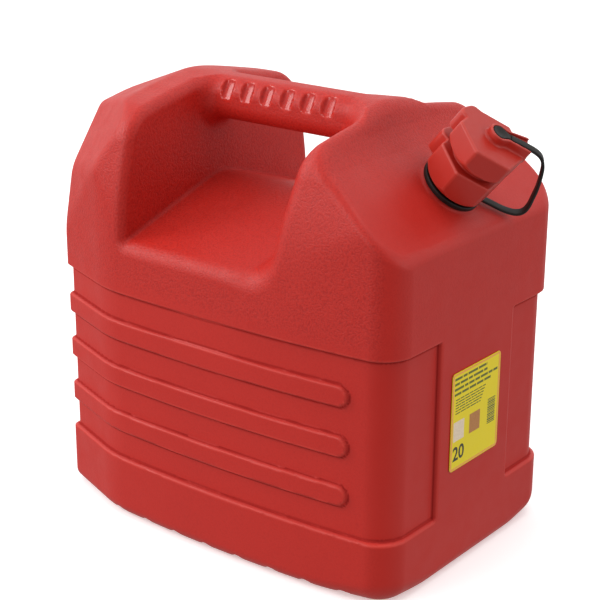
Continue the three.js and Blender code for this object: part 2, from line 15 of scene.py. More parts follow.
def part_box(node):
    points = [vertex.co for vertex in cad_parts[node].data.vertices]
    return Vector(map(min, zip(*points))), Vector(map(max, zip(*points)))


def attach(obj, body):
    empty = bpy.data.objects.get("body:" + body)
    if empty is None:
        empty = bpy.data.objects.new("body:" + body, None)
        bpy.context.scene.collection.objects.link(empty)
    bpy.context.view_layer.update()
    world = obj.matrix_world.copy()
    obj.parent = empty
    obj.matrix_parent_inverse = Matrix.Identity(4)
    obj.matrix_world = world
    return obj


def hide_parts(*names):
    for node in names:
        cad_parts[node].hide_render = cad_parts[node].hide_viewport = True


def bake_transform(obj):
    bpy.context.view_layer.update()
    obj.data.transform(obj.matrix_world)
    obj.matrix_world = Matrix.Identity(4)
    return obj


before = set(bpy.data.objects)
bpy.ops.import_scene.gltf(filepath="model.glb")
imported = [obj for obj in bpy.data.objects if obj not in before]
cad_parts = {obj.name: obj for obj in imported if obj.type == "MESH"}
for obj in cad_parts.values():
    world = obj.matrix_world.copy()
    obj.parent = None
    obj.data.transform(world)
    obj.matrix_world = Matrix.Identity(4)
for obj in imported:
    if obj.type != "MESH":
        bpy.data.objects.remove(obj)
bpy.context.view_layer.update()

MM = 0.001

# Can: overall form
BODY_LENGTH = 344
HALF_LENGTH = BODY_LENGTH / 2
HALF_WIDTH = 111
SIDE_BOW = 11
RIDGE_HEIGHT = 353.6
ROOF_SLOPE = 0.21
ROOF_SOFTNESS = 18
SHOULDER_RADIUS = 20
LEAN_HALF_WIDTH = 118.5
LEAN_DROP = 83.6
LEAN_SLOPE = 0.25
LEAN_SOFTNESS = 6
SIDE_DRAFT = 0.0236
REAR_HALF_WIDTH = 92.5
REAR_CHAMFER_LENGTH = 70
CHAMFER_BLEND = 4
REAR_EDGE_RADIUS = 4
CORNER_RADIUS = 22
FOOT_RADIUS = 11
FRONT_FOOT_RADIUS = 20

# Can: rear roof, and on each rear corner a leaning side and a steep shoulder facet, each through
# three places given as X, Y and the drop under the ridge
REAR_ROOF_X = -112
REAR_ROOF_SLOPE = 0.385
REAR_ROOF_BLEND = 1.5
REAR_CORNER = (-HALF_LENGTH, 82, 76.6)
LEAN_PLACES = [(-HALF_LENGTH, REAR_HALF_WIDTH, 126.6), REAR_CORNER, (-102, 119, 53.6)]
FACET_PLACES = [REAR_CORNER, (-HALF_LENGTH, 48, 31.6), (-85, 112, 30.6)]
LEAN_BLEND = 1.5
FACET_BLEND = 3

# Can: base, bands, ribs and label panel
BASE_LIFT = 3
BASE_EDGE = 3
FOOT_RIM_WIDTH = 26
NOTCH_COUNT = 8
NOTCH_PITCH = 32.5
NOTCH_FIRST_X = -97.5
NOTCH_RADIUS = 6
NOTCH_DEPTH = 4.5
NOTCH_EDGE = 1.5
LOWER_BAND_HEIGHT = 53.5
UPPER_BAND_HEIGHT = 193.2
BAND_EDGE = 3
RECESS_DEPTH = 3.5
RIB_COUNT = 3
RIB_HEIGHT = 19
RIB_PITCH = 39.5
FIRST_RIB_HEIGHT = 74
RIB_END_X = 135.5
RIB_EDGE = 2.6
RIB_RISE = 3
PANEL_HALF_WIDTH = 52
PANEL_START_X = 100

# Can: hand pocket and grip
POCKET_REAR_X = -81
POCKET_FRONT_X = 67.2
POCKET_FRONT_LEAN = 0.2
POCKET_FRONT_Z = 280
POCKET_CREST_DROP = 79.1
POCKET_FLOOR_SLOPE = 0.322
POCKET_CREST_SOFTNESS = 10
POCKET_REAR_FILLET = 2.5
POCKET_FRONT_FILLET = 18
LIP_RADIUS = 9
FRONT_LIP_RADIUS = 16
LIP_CHANGE_X = POCKET_FRONT_X / 3
GRIP_HALF = 18
GRIP_RADIUS = 15
GRIP_REAR_X = -95
GRIP_FRONT_X = 80
GRIP_FILLET = 12
GRIP_FRONT_FILLET = 28
GRIP_FLARE_X = 22
GROOVE_COUNT = 6
GROOVE_PITCH = 20
GROOVE_MIDDLE_X = -9.5
GROOVE_HALF_WIDTH = 6.6
GROOVE_HALF_LENGTH = 12.5
GROOVE_DEPTH = 2.2
GROOVE_TILT = math.radians(62)
GROOVE_EDGE = 0.9

# Can: how far outside a groove its polish starts and is full, and how much grain smooth places keep
POLISH_START = 1.6
POLISH_FULL = 0.4
SMOOTH_GRAIN = 0.3

# Slanted neck. Heights on it are measured along its axis from the sloping flat
NECK_TILT = math.radians(41)
NECK_X = 140.5
NECK_DROP = 58.2
FLAT_END_RADIUS = 4
FLAT_TOP_RADIUS = 8
FLAT_SIDE_RADIUS = 9
FLAT_FRONT_RADIUS = 6
STEP_TOP_X = 89
STEP_LEAN = math.radians(22)
STEP_FILLET = 6
APRON_END_X = 108
APRON_TILT = math.radians(33)
APRON_RADIUS = 8
PAD_RADIUS = 26.5
PAD_HEIGHT = 1.6
PAD_FILLET = 5
SEAT_RADIUS = 20
SEAT_HEIGHT = 6.8
NECK_RADIUS = 18.6
NECK_BORE_RADIUS = 15.4
NECK_HEIGHT = 22.5
NECK_FOOT_DEPTH = 3
NECK_THREAD_START = 9
NECK_THREAD_TURNS = 2.5
WELL_DEPTH = 78

# Threads: a ridge runs out at each end over one turn divided by the taper
THREAD_PITCH = 4
THREAD_DEPTH = 1.5
THREAD_ROOT = 0.95
THREAD_TIP = 0.45
THREAD_SINK = 1
THREAD_TAPER = 6

# Ring nut
NUT_START = 7.1
NUT_HEX_START = 13
NUT_TOP = 31.5
NUT_FOOT_RADIUS = 23.4
NUT_CORNER_RADIUS = 28
NUT_BORE_RADIUS = 20.6
NUT_PLATE_UNDERSIDE = 27.4
NUT_HOLE_RADIUS = 13.6
NUT_LOBE_REACH = 32.5
NUT_THREAD_TURNS = 1.5
COLLAR_RADIUS = 18.6
COLLAR_TOP = 46.4
COLLAR_THREAD_START = 34
COLLAR_THREAD_TURNS = 2.25
CLOSURE_EDGE = 1.5
SHARP_EDGE = 0.8

# Cap
CAP_START = 36.5
CAP_FOOT_RADIUS = 24.6
CAP_FOOT_HEIGHT = 5
CAP_TOP = 56
CAP_CORNER_RADIUS = 28.6
CAP_EDGE = 2
CAP_BORE_RADIUS = 20.6
CAP_UNDERSIDE = 49
CAP_LOBE_REACH = 32
CAP_THREAD_TURNS = 1.25
HEX_CORNER = math.radians(-80)
LOBE_ANGLE = math.radians(177)
LOBE_WIDTH = 19
LOBE_CORNER = 6
BOSS_ANGLE = math.radians(48)
BOSS_PLACE = (-0.5, 2.2)
BOSS_TOP = 62.8
BOSS_HEAD_RADIUS = 8
BOSS_WAIST_HALF = 4.7
BOSS_END_HALF = 8
BOSS_REACH = 27
BOSS_CORNER = 2.5
BOSS_FILLET = 2
BOSS_WALL = 1.7
CHANNEL_DEPTH = 2.6

# Tether
RING_START = 2.2
RING_TOP = 6.2
RING_RADIUS = 24.4
RING_EDGE = 0.9
EYE_RADIUS = 6
EYE_REACH = 9
EYE_EDGE = 0.7
EYE_DISH_RADIUS = 10
EYE_DISH_DEPTH = 1.1
EYE_WAIST_HALF = 2.6
STRAP_WIDTH = 6
STRAP_THICKNESS = 2.4
STRAP_EDGE = 0.8
STRAP_REACH = 60
STRAP_LOW = 4.2
STRAP_HIGH = 61.7
STRAP_ANGLE = math.radians(44)
STRAP_REACH_SHARES = [0, 0.26, 0.6, 0.86, 0.99, 1, 0.95, 0.88, 0.79, 0.7, 0.59, 0.47, 0.32, 0]
STRAP_RISE_SHARES = [0, 0, 0, 0.03, 0.1, 0.21, 0.36, 0.54, 0.71, 0.85, 0.95, 0.99, 1, 1]
STRAP_STEPS = 72
STRAP_FINE_STEPS = 8 * STRAP_STEPS
STRAP_CORNER_STEPS = 4
STRAP_GAP = 0.4

# Meshing: the grids' steps and margins, how points are drawn onto the surface, and the reaches over
# which slope and edges are measured
BODY_GRID = (2.2, 2.2, 1.6)
CLOSURE_GRID = (0.7, 0.7, 0.7)
RUBBER_GRID = (0.4, 0.4, 0.4)
GRID_MARGIN = 3
RING_MARGIN = 1
SNAP_ROUNDS = 3
SNAP_LIMIT_SHARE = 0.6
LEAST_STEEPNESS = 0.1
LEAST_LENGTH = 1e-6
GRADIENT_REACH = 0.05
EDGE_REACH = 1.2

# Colours: a pair for each material, which a pattern mixes, then painted highlights on convex edges
# and painted shade in creases and the grain's pits
BODY_COLOURS = ((0.49, 0.017, 0.011), (0.57, 0.023, 0.014))
# Painted shade of the grain's pits, painted highlight of ridges and painted shade of creases
PIT_SHADE_COLOUR = (0.34, 0.007, 0.006)
RIDGE_HIGHLIGHT_COLOUR = (0.72, 0.07, 0.05)
CREASE_SHADE_COLOUR = (0.24, 0.006, 0.006)
CLOSURE_COLOURS = ((0.44, 0.020, 0.012), (0.52, 0.028, 0.016))
# Painted highlight on the closures' convex edges
EDGE_HIGHLIGHT_COLOUR = (0.62, 0.09, 0.07)
RUBBER_COLOURS = ((0.008, 0.006, 0.005), (0.022, 0.016, 0.013))
PLASTIC_COLOURS = ((0.012, 0.012, 0.013), (0.026, 0.026, 0.027))
FOAM_COLOURS = ((0.70, 0.69, 0.64), (0.84, 0.83, 0.79))
FILM_COLOURS = ((0.84, 0.68, 0.014), (0.94, 0.72, 0.018))
FLOOR_COLOURS = ((0.90, 0.90, 0.90), (0.92, 0.92, 0.92))
LINE_INK = (0.10, 0.12, 0.01)
BORDER_INK = (0.80, 0.32, 0.06)
PALE_INK = (0.72, 0.58, 0.42)
BROWN_INK = (0.42, 0.17, 0.04)
STRIPE_INK = (0.04, 0.07, 0.02)
NUMBER_INK = (0.03, 0.03, 0.01)
INK_PALING = 1.35
INK_LIFT = 0.01
WHITE = (1, 1, 1, 1)

# Patterns: blots to a metre, levels of detail and, for the can's grain, how rough the detail is. Most
# of a pattern's values lie in the noise range
BODY_MOTTLE = (9, 3)
BODY_GRAIN = (620, 2, 0.7)
BODY_SMEARS = (60, 3)
CLOSURE_MOTTLE = (40, 3)
CLOSURE_GRAIN = (1400, 2)
CLOSURE_SMEARS = (200, 3)
RUBBER_DUST = (120, 4)
RUBBER_GRAIN = (1800, 3)
PLASTIC_MOTTLE = (80, 3)
PLASTIC_GRAIN = (1500, 2)
PLASTIC_SMEARS = (300, 2)
FOAM_CELLS = (2200, 2)
FILM_MOTTLE = (14, 2)
FILM_WAVES = (160, 3)
FILM_SMEARS = (90, 2)
INK_MOTTLE = (700, 3)
INK_SMEARS = (200, 2)
FLOOR_MOTTLE = (2, 2)
NOISE_RANGE = (0.3, 0.7)

# Finish: ranges of roughness, bumps as strength and depth in metres, and shares of the painted
# highlights and shade
BODY_ROUGHNESS = (0.40, 0.50)
CLOSURE_ROUGHNESS = (0.32, 0.42)
RUBBER_ROUGHNESS = (0.42, 0.6)
PLASTIC_ROUGHNESS = (0.35, 0.5)
FILM_ROUGHNESS = (0.3, 0.42)
INK_ROUGHNESS = (0.35, 0.5)
FOAM_ROUGHNESS = 0.85
FLOOR_ROUGHNESS = 0.9
BODY_BUMP = (0.7, 0.0007)
CLOSURE_BUMP = (0.25, 0.0003)
RUBBER_BUMP = (0.3, 0.0002)
PLASTIC_BUMP = (0.2, 0.0002)
FOAM_BUMP = (0.6, 0.0003)
FILM_BUMP = (0.15, 0.0004)
BODY_SPECULAR = 0.32
CLOSURE_SPECULAR = 0.38
RUBBER_SPECULAR = 0.3
FILM_SPECULAR = 0.3
BODY_SUBSURFACE = 0.06
BODY_SUBSURFACE_RADIUS = (0.006, 0.0015, 0.001)
# Painted shade in the grain's pits, painted highlight on ridges, painted shade in creases
PIT_SHADE_RANGE = (0.55, 0.35)
PIT_SHADE_SHARE = 0.55
RIDGE_HIGHLIGHT_RANGE = (0.15, 1)
RIDGE_HIGHLIGHT_SHARE = 0.35
CREASE_SHADE_RANGE = (-0.1, -1)
CREASE_SHADE_SHARE = 0.7
# Painted highlight on the closures' convex edges
EDGE_HIGHLIGHT_RANGE = (0.2, 1)
EDGE_HIGHLIGHT_SHARE = 0.35
DUST_RANGE = (0.45, 0.8)
POLISH = 0.29
FLOOR_GLOW = 0.35

# Label print: shares of the label's width from its left edge and of its height from its top. A
# block of text is given by its first line's top, the lines' pitch and thickness, its left edge, the
# gaps between words and the longest word, with the lines' right ends beside it. Words' lengths and
# stripes' thicknesses come from a short repeating count, which has a seed, a factor and a step
PRINT_LIFT = 0.04 * MM
BORDER_SIDE_SHARE = 0.01
BORDER_TOP_SHARE = 0.008
BORDER_INNER_SHARE = 0.025
HEADING_SHARES = (0.05, 0.052, 0.024, 0.05, 0.018, 0.2)
HEADING_END_SHARES = (0.72, 0.72, 0.94, 0.8)
HEADING_SEED = 2
TEXT_SHARES = (0.27, 0.028, 0.011, 0.08, 0.012, 0.12)
TEXT_END_SHARES = (0.7, 0.68, 0.66, 0.64, 0.62, 0.6)
TEXT_SEED = 5
WORD_LEAST_SHARE = 0.35
WORD_KINDS = 11
WORD_FACTOR = 7
WORD_STEP = 3
PALE_SQUARE_SHARES = (0.05, 0.5, 0.27, 0.7)
BROWN_SQUARE_SHARES = (0.38, 0.5, 0.6, 0.7)
STRIPE_COUNT = 15
STRIPE_TOP_SHARE = 0.45
STRIPE_SIDE_SHARES = (0.76, 0.92)
STRIPE_THIN_SHARE = 0.006
STRIPE_EXTRA_SHARE = 0.008
STRIPE_GAP_SHARE = 0.008
STRIPE_KINDS = 7
STRIPE_FACTOR = 5
STRIPE_STEP = 2
NUMBER_PLACE_SHARES = (0.05, 0.9)
NUMBER_SIZE = 16
NUMBER_BOLDNESS = 0.3
NUMBER_CURVE_STEPS = 4

# Camera: its place, the point it looks at, its roll and its lens
CAMERA_PLACE = (754.3, -959.2, 610.3)
CAMERA_TARGET = (1.7, 0, 176.4)
CAMERA_ROLL = math.radians(0.27)
SENSOR_WIDTH = 36
LENS = 95.607

# Studio, in the row's metres and in watts. Each lamp has its place and power. The world is dimmer
# under the horizon and round one direction
FLOOR_REACH = 6
LAMP_SIZE = 1
LAMP_TARGET = (0, 0, 0.18)
LAMPS = {
    "left": ((-1.68, -1.08, 1.32), 17),
    "front": ((-0.5, -2.2, 0.9), 12),
    "top": ((0.5, 0.2, 2.3), 6),
    "right": ((2.2, 0.5, 0.7), 5),
}
WORLD_STRENGTH = 1
LOW_STRENGTH = 0.5
HORIZON_RANGE = (-0.15, 0.2)
DIM_SHARE = 0.35
DIM_DIRECTION = (0.69, -0.69, 0.2)
DIM_EDGE = 0.5

LABEL_LOW, LABEL_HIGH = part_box("label")
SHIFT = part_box("container_body")[0].x / MM + HALF_LENGTH
NECK_Z = RIDGE_HEIGHT - NECK_DROP
GRIP_Z = RIDGE_HEIGHT - GRIP_HALF


def round_max(a, b, radius):
    """The common part of two fields, with a round convex edge."""
    corner = np.hypot(np.maximum(a + radius, 0), np.maximum(b + radius, 0))
    return np.minimum(-radius, np.maximum(a, b)) + corner


def round_min(a, b, radius):
    """Two fields together, with a round concave edge."""
    return -round_max(-a, -b, radius)


def blend_max(a, b, width):
    """The common part of two fields that meet at a shallow angle."""
    overlap = np.maximum(width - np.abs(a - b), 0)
    return np.maximum(a, b) + overlap**2 / (4 * width)


def smooth_step(value, low, high):
    share = np.clip((value - low) / (high - low), 0, 1)
    return share * share * (3 - 2 * share)


def plane_through(places):
    """Outward normal and distance of the plane through three places on the side +Y."""
    first, second, third = [np.array([x, y, RIDGE_HEIGHT - drop]) for x, y, drop in places]
    normal = np.cross(second - first, third - first)
    normal /= np.linalg.norm(normal)
    if normal[2] < 0:
        normal = -normal
    return normal, normal @ first


def plane_field(plane, x, a, z):
    normal, distance = plane
    return normal[0] * x + normal[1] * a + normal[2] * z - distance


CHAMFER_BOW = SIDE_BOW * (1 - ((HALF_LENGTH - REAR_CHAMFER_LENGTH) / HALF_LENGTH) ** 2)
CHAMFER_RISE = HALF_WIDTH + CHAMFER_BOW - REAR_HALF_WIDTH
CHAMFER_SPAN = math.hypot(CHAMFER_RISE, REAR_CHAMFER_LENGTH)
CHAMFER_NORMAL = np.array([-CHAMFER_RISE, REAR_CHAMFER_LENGTH]) / CHAMFER_SPAN
LEAN_PLANE = plane_through(LEAN_PLACES)
FACET_PLANE = plane_through(FACET_PLACES)


# In the fields below, a is the distance from the can's middle plane, which it mirrors about


def bowed_side(x, a):
    """The bowed side wall, with the flat chamfer at its rear end."""
    slope = 2 * SIDE_BOW * x / HALF_LENGTH**2
    side = (a - HALF_WIDTH - SIDE_BOW * (1 - (x / HALF_LENGTH) ** 2)) / np.sqrt(1 + slope**2)
    chamfer = CHAMFER_NORMAL[0] * (x + HALF_LENGTH) + CHAMFER_NORMAL[1] * (a - REAR_HALF_WIDTH)
    return blend_max(side, chamfer, CHAMFER_BLEND)


def rib_field(x, z):
    """Distance to the nearest rib's outline, seen from the side."""
    half = RIB_HEIGHT / 2
    nearest = np.inf
    for i in range(RIB_COUNT):
        middle = FIRST_RIB_HEIGHT + i * RIB_PITCH + half
        distance = np.hypot(np.maximum(x - RIB_END_X + half, 0), z - middle) - half
        nearest = np.minimum(nearest, distance)
    return nearest


def wall_inset(x, a, z):
    """How far the wall between the two bands is set back, less at the ribs and the label panel."""
    band = smooth_step(z, LOWER_BAND_HEIGHT - BAND_EDGE, LOWER_BAND_HEIGHT)
    band = band * (1 - smooth_step(z, UPPER_BAND_HEIGHT, UPPER_BAND_HEIGHT + BAND_EDGE))
    panel = 1 - smooth_step(a, PANEL_HALF_WIDTH - BAND_EDGE, PANEL_HALF_WIDTH)
    panel = panel * (x > PANEL_START_X)
    rib = 1 - smooth_step(rib_field(x, z), -RIB_EDGE, 0)
    return band * (1 - panel) * (RECESS_DEPTH - RIB_RISE * rib)


def neck_coordinates(x, z):
    """Distance down the flat and height over it."""
    cos, sin = math.cos(NECK_TILT), math.sin(NECK_TILT)
    return (x - NECK_X) * cos - (z - NECK_Z) * sin, (x - NECK_X) * sin + (z - NECK_Z) * cos


def slope_field(x, z, height):
    """The sloping flat, a little less steep at its head, with a steep step up to the roof."""
    apron_z = NECK_Z + (NECK_X - APRON_END_X) * math.tan(NECK_TILT)
    apron = (x - APRON_END_X) * math.sin(APRON_TILT) + (z - apron_z) * math.cos(APRON_TILT)
    step = (x - STEP_TOP_X) * math.cos(STEP_LEAN) + (z - RIDGE_HEIGHT) * math.sin(STEP_LEAN)
    return round_min(blend_max(height, apron, APRON_RADIUS), step, STEP_FILLET)


def hull_field(x, y, z):
    """The can without its hand pocket."""
    a = np.abs(y)
    inset = wall_inset(x, a, z)
    over_lean = z - RIDGE_HEIGHT + LEAN_DROP
    lean = a - LEAN_HALF_WIDTH + over_lean * LEAN_SLOPE
    draft = blend_max(a - LEAN_HALF_WIDTH + over_lean * SIDE_DRAFT, lean, LEAN_SOFTNESS)
    sides = blend_max(bowed_side(x, a) + inset, draft, LEAN_BLEND)
    crown = z - RIDGE_HEIGHT + ROOF_SLOPE * (np.hypot(y, ROOF_SOFTNESS) - ROOF_SOFTNESS)
    rear_roof = (crown - (x - REAR_ROOF_X) * REAR_ROOF_SLOPE) / math.hypot(1, REAR_ROOF_SLOPE)
    crown = crown / math.hypot(1, ROOF_SLOPE)
    field = round_max(sides, blend_max(crown, rear_roof, REAR_ROOF_BLEND), SHOULDER_RADIUS)
    field = blend_max(field, plane_field(LEAN_PLANE, x, a, z), LEAN_BLEND)
    field = blend_max(field, plane_field(FACET_PLANE, x, a, z), FACET_BLEND)
    field = round_max(field, -x - HALF_LENGTH + inset, REAR_EDGE_RADIUS)
    field = round_max(field, x - HALF_LENGTH + inset, CORNER_RADIUS)
    _, height = neck_coordinates(x, z)
    front_share = smooth_step(x, PANEL_START_X, NECK_X)
    side_share = smooth_step(a, HALF_WIDTH / 2, HALF_WIDTH)
    side_radius = FLAT_SIDE_RADIUS + (FLAT_FRONT_RADIUS - FLAT_SIDE_RADIUS) * front_share
    end_radius = FLAT_TOP_RADIUS + (FLAT_END_RADIUS - FLAT_TOP_RADIUS) * front_share
    flat_radius = end_radius + (side_radius - end_radius) * side_share
    field = round_max(field, slope_field(x, z, height), flat_radius)
    corner_share = smooth_step(x, PANEL_START_X, HALF_LENGTH) * side_share
    return round_max(field, -z, FOOT_RADIUS + (FRONT_FOOT_RADIUS - FOOT_RADIUS) * corner_share)


def pocket_field(x, y, z):
    """The hand pocket: a floor with a crest along its middle, a rear wall and a leaning front."""
    rear = POCKET_REAR_X - x
    front = x - POCKET_FRONT_X - POCKET_FRONT_LEAN * (z - POCKET_FRONT_Z)
    front = front / math.hypot(1, POCKET_FRONT_LEAN)
    floor = RIDGE_HEIGHT - POCKET_CREST_DROP - z
    floor = floor - POCKET_FLOOR_SLOPE * np.hypot(y, POCKET_CREST_SOFTNESS)
    floor = floor / math.hypot(1, POCKET_FLOOR_SLOPE)
    return round_max(round_max(rear, floor, POCKET_REAR_FILLET), front, POCKET_FRONT_FILLET)


def grip_field(x, y, z):
    across = np.abs(y) - GRIP_HALF + GRIP_RADIUS
    upright = np.abs(z - GRIP_Z) - GRIP_HALF + GRIP_RADIUS
    field = np.hypot(np.maximum(across, 0), np.maximum(upright, 0)) - GRIP_RADIUS
    field = field + np.minimum(np.maximum(across, upright), 0)
    middle, half = (GRIP_REAR_X + GRIP_FRONT_X) / 2, (GRIP_FRONT_X - GRIP_REAR_X) / 2
    return np.maximum(field, np.abs(x - middle) - half)


def groove_field(x, y, z):
    """The finger grooves: rounded oblongs across both upper flanks of the grip."""
    cos, sin = math.cos(GROOVE_TILT), math.sin(GROOVE_TILT)
    a = np.abs(y)
    out = a * sin + (z - GRIP_Z) * cos - (GRIP_HALF + GROOVE_HALF_WIDTH - GROOVE_DEPTH)
    along = a * cos - (z - GRIP_Z) * sin
    first = GROOVE_MIDDLE_X - GROOVE_PITCH * (GROOVE_COUNT - 1) / 2
    index = np.clip(np.round((x - first) / GROOVE_PITCH), 0, GROOVE_COUNT - 1)
    across = x - first - index * GROOVE_PITCH
    plan = (across / GROOVE_HALF_WIDTH) ** 4 + (along / GROOVE_HALF_LENGTH) ** 4
    reach = np.sqrt(plan + (out / GROOVE_HALF_WIDTH) ** 2)
    return (reach - 1) * GROOVE_HALF_WIDTH


def grain_share(x, y, z):
    """How grained the surface is: fully on the upper sides, less under them and on the front."""
    front = smooth_step(x, PANEL_START_X, NECK_X)
    front = front * (1 - smooth_step(np.abs(y), HALF_WIDTH - BAND_EDGE, HALF_WIDTH))
    upper = smooth_step(z, UPPER_BAND_HEIGHT, UPPER_BAND_HEIGHT + RIB_HEIGHT)
    return (SMOOTH_GRAIN + (1 - SMOOTH_GRAIN) * upper) * (1 - (1 - SMOOTH_GRAIN) * front)


def base_field(x, y, z):
    """The raised middle of the base and the notches across its rim."""
    a = np.abs(y)
    plan = np.maximum(bowed_side(x, a), np.abs(x) - HALF_LENGTH) + FOOT_RIM_WIDTH
    recess = round_max(plan, z - BASE_LIFT, BASE_EDGE)
    index = np.clip(np.round((x - NOTCH_FIRST_X) / NOTCH_PITCH), 0, NOTCH_COUNT - 1)
    across = x - NOTCH_FIRST_X - index * NOTCH_PITCH
    notch = np.hypot(across, z - NOTCH_DEPTH + NOTCH_RADIUS) - NOTCH_RADIUS
    return np.minimum(recess, notch)


def body_field(x, y, z):
    """The whole can: pocket, grip, grooves, base, and the pad and well of the neck."""
    hull = hull_field(x, y, z)
    lip_share = smooth_step(x, LIP_CHANGE_X, POCKET_FRONT_X)
    lip = LIP_RADIUS + (FRONT_LIP_RADIUS - LIP_RADIUS) * lip_share
    field = round_max(hull, -pocket_field(x, y, z), lip)
    flare_share = smooth_step(x, GRIP_FLARE_X, POCKET_FRONT_X)
    fillet = GRIP_FILLET + (GRIP_FRONT_FILLET - GRIP_FILLET) * flare_share
    field = np.maximum(round_min(field, grip_field(x, y, z), fillet), hull)
    field = round_max(field, -groove_field(x, y, z), GROOVE_EDGE)
    field = round_max(field, -base_field(x, y, z), NOTCH_EDGE)
    along, height = neck_coordinates(x, z)
    radius = np.hypot(along, y)
    pad = np.maximum(radius - PAD_RADIUS + PAD_FILLET, slab(height, -PAD_FILLET, PAD_HEIGHT))
    field = round_min(field, pad, PAD_FILLET)
    well = np.maximum(radius - NECK_BORE_RADIUS, -height - WELL_DEPTH)
    return np.maximum(field, -well)


def thread_field(x, y, z, base, depth, start, turns):
    """A right-handed ridge on a round face. A negative depth stands inwards."""
    radius = np.hypot(x, y)
    turn = np.mod(np.arctan2(y, x), 2 * math.pi) / (2 * math.pi)
    rise = (z - start) / THREAD_PITCH - turn
    count = np.round(rise)
    done = count + turn
    taper = np.clip(np.minimum(done, turns - done) * THREAD_TAPER, -1, 1)
    height = np.sign(depth) * (radius - base)
    half = THREAD_ROOT + (THREAD_TIP - THREAD_ROOT) * np.clip(height / abs(depth), 0, 1)
    flank = np.abs(rise - count) * THREAD_PITCH - half
    return np.maximum(np.maximum(flank, height - abs(depth) * taper), -height - THREAD_SINK)


def hexagon_field(x, y, corner_radius):
    apothem = corner_radius * math.cos(math.pi / 6)
    field = None
    for i in range(3):
        angle = HEX_CORNER + math.pi / 6 + i * math.pi / 3
        flat = np.abs(x * math.cos(angle) + y * math.sin(angle)) - apothem
        field = flat if field is None else round_max(field, flat, CLOSURE_EDGE)
    return field


def turned(x, y, angle):
    cos, sin = math.cos(angle), math.sin(angle)
    return x * cos + y * sin, y * cos - x * sin


def lobe_field(x, y, reach):
    """Plan of the wide round-cornered lobe that a hexagon has on one side."""
    out, across = turned(x, y, LOBE_ANGLE)
    return np.maximum(round_max(out - reach, np.abs(across) - LOBE_WIDTH / 2, LOBE_CORNER), -out)


def slab(z, low, high):
    return np.abs(z - (low + high) / 2) - (high - low) / 2


def neck_field(x, y, z):
    radius = np.hypot(x, y)
    field = round_max(radius - SEAT_RADIUS, z - SEAT_HEIGHT, SHARP_EDGE)
    field = round_min(field, round_max(radius - NECK_RADIUS, z - NECK_HEIGHT, SHARP_EDGE), SHARP_EDGE)
    thread = thread_field(x, y, z, NECK_RADIUS, THREAD_DEPTH, NECK_THREAD_START, NECK_THREAD_TURNS)
    field = np.minimum(field, thread)
    field = round_max(field, NECK_BORE_RADIUS - radius, SHARP_EDGE)
    return np.maximum(field, -z - NECK_FOOT_DEPTH)


def nut_field(x, y, z):
    radius = np.hypot(x, y)
    slope = (NUT_CORNER_RADIUS - NUT_FOOT_RADIUS) / (NUT_HEX_START - NUT_START)
    foot = (radius - NUT_FOOT_RADIUS - (z - NUT_START) * slope) / math.hypot(1, slope)
    field = round_max(hexagon_field(x, y, NUT_CORNER_RADIUS), foot, SHARP_EDGE)
    lobe = np.maximum(lobe_field(x, y, NUT_LOBE_REACH), NUT_HEX_START - z)
    field = round_max(round_min(field, lobe, SHARP_EDGE), slab(z, NUT_START, NUT_TOP), CLOSURE_EDGE)
    collar = round_max(radius - COLLAR_RADIUS, slab(z, NUT_PLATE_UNDERSIDE, COLLAR_TOP), SHARP_EDGE)
    field = round_min(field, collar, SHARP_EDGE)
    thread = thread_field(x, y, z, COLLAR_RADIUS, THREAD_DEPTH, COLLAR_THREAD_START, COLLAR_THREAD_TURNS)
    field = np.minimum(field, thread)
    bore = np.maximum(radius - NUT_BORE_RADIUS, z - NUT_PLATE_UNDERSIDE)
    field = round_max(field, -bore, SHARP_EDGE)
    field = round_max(field, NUT_HOLE_RADIUS - radius, SHARP_EDGE)
    start = NECK_THREAD_START + THREAD_PITCH / 2
    inner = thread_field(x, y, z, NUT_BORE_RADIUS, -THREAD_DEPTH, start, NUT_THREAD_TURNS)
    return np.minimum(field, inner)


def keyhole_field(x, y, shrink, reach):
    """Plan of the boss: a round head, a waist, and a tail that widens to its end."""
    out, across = turned(x - BOSS_PLACE[0], y - BOSS_PLACE[1], BOSS_ANGLE)
    flare = (BOSS_END_HALF - BOSS_WAIST_HALF) / BOSS_REACH
    side = np.abs(across) - BOSS_WAIST_HALF + shrink - np.maximum(out, 0) * flare
    tail = np.maximum(round_max(out - reach, side, BOSS_CORNER), -out)
    return round_min(tail, np.hypot(out, across) - BOSS_HEAD_RADIUS + shrink, BOSS_CORNER)


def cap_field(x, y, z):
    radius = np.hypot(x, y)
    slope = (CAP_CORNER_RADIUS - CAP_FOOT_RADIUS) / CAP_FOOT_HEIGHT
    foot = (radius - CAP_FOOT_RADIUS - (z - CAP_START) * slope) / math.hypot(1, slope)
    field = round_max(hexagon_field(x, y, CAP_CORNER_RADIUS), foot, SHARP_EDGE)
    lobe = np.maximum(lobe_field(x, y, CAP_LOBE_REACH), CAP_START + CAP_FOOT_HEIGHT / 2 - z)
    field = round_max(round_min(field, lobe, SHARP_EDGE), slab(z, CAP_START, CAP_TOP), CAP_EDGE)
    boss = keyhole_field(x, y, 0, BOSS_REACH)
    boss = round_max(boss, slab(z, CAP_TOP - 2 * CAP_EDGE, BOSS_TOP), SHARP_EDGE)
    field = round_min(field, boss, BOSS_FILLET)
    channel = keyhole_field(x, y, BOSS_WALL, 2 * BOSS_REACH)
    channel = np.maximum(channel, BOSS_TOP - CHANNEL_DEPTH - z)
    field = round_max(field, -channel, SHARP_EDGE / 2)
    bore = np.maximum(radius - CAP_BORE_RADIUS, z - CAP_UNDERSIDE)
    field = round_max(field, -bore, SHARP_EDGE)
    start = COLLAR_THREAD_START + 3 * THREAD_PITCH / 2
    inner = thread_field(x, y, z, CAP_BORE_RADIUS, -THREAD_DEPTH, start, CAP_THREAD_TURNS)
    return np.minimum(field, inner)


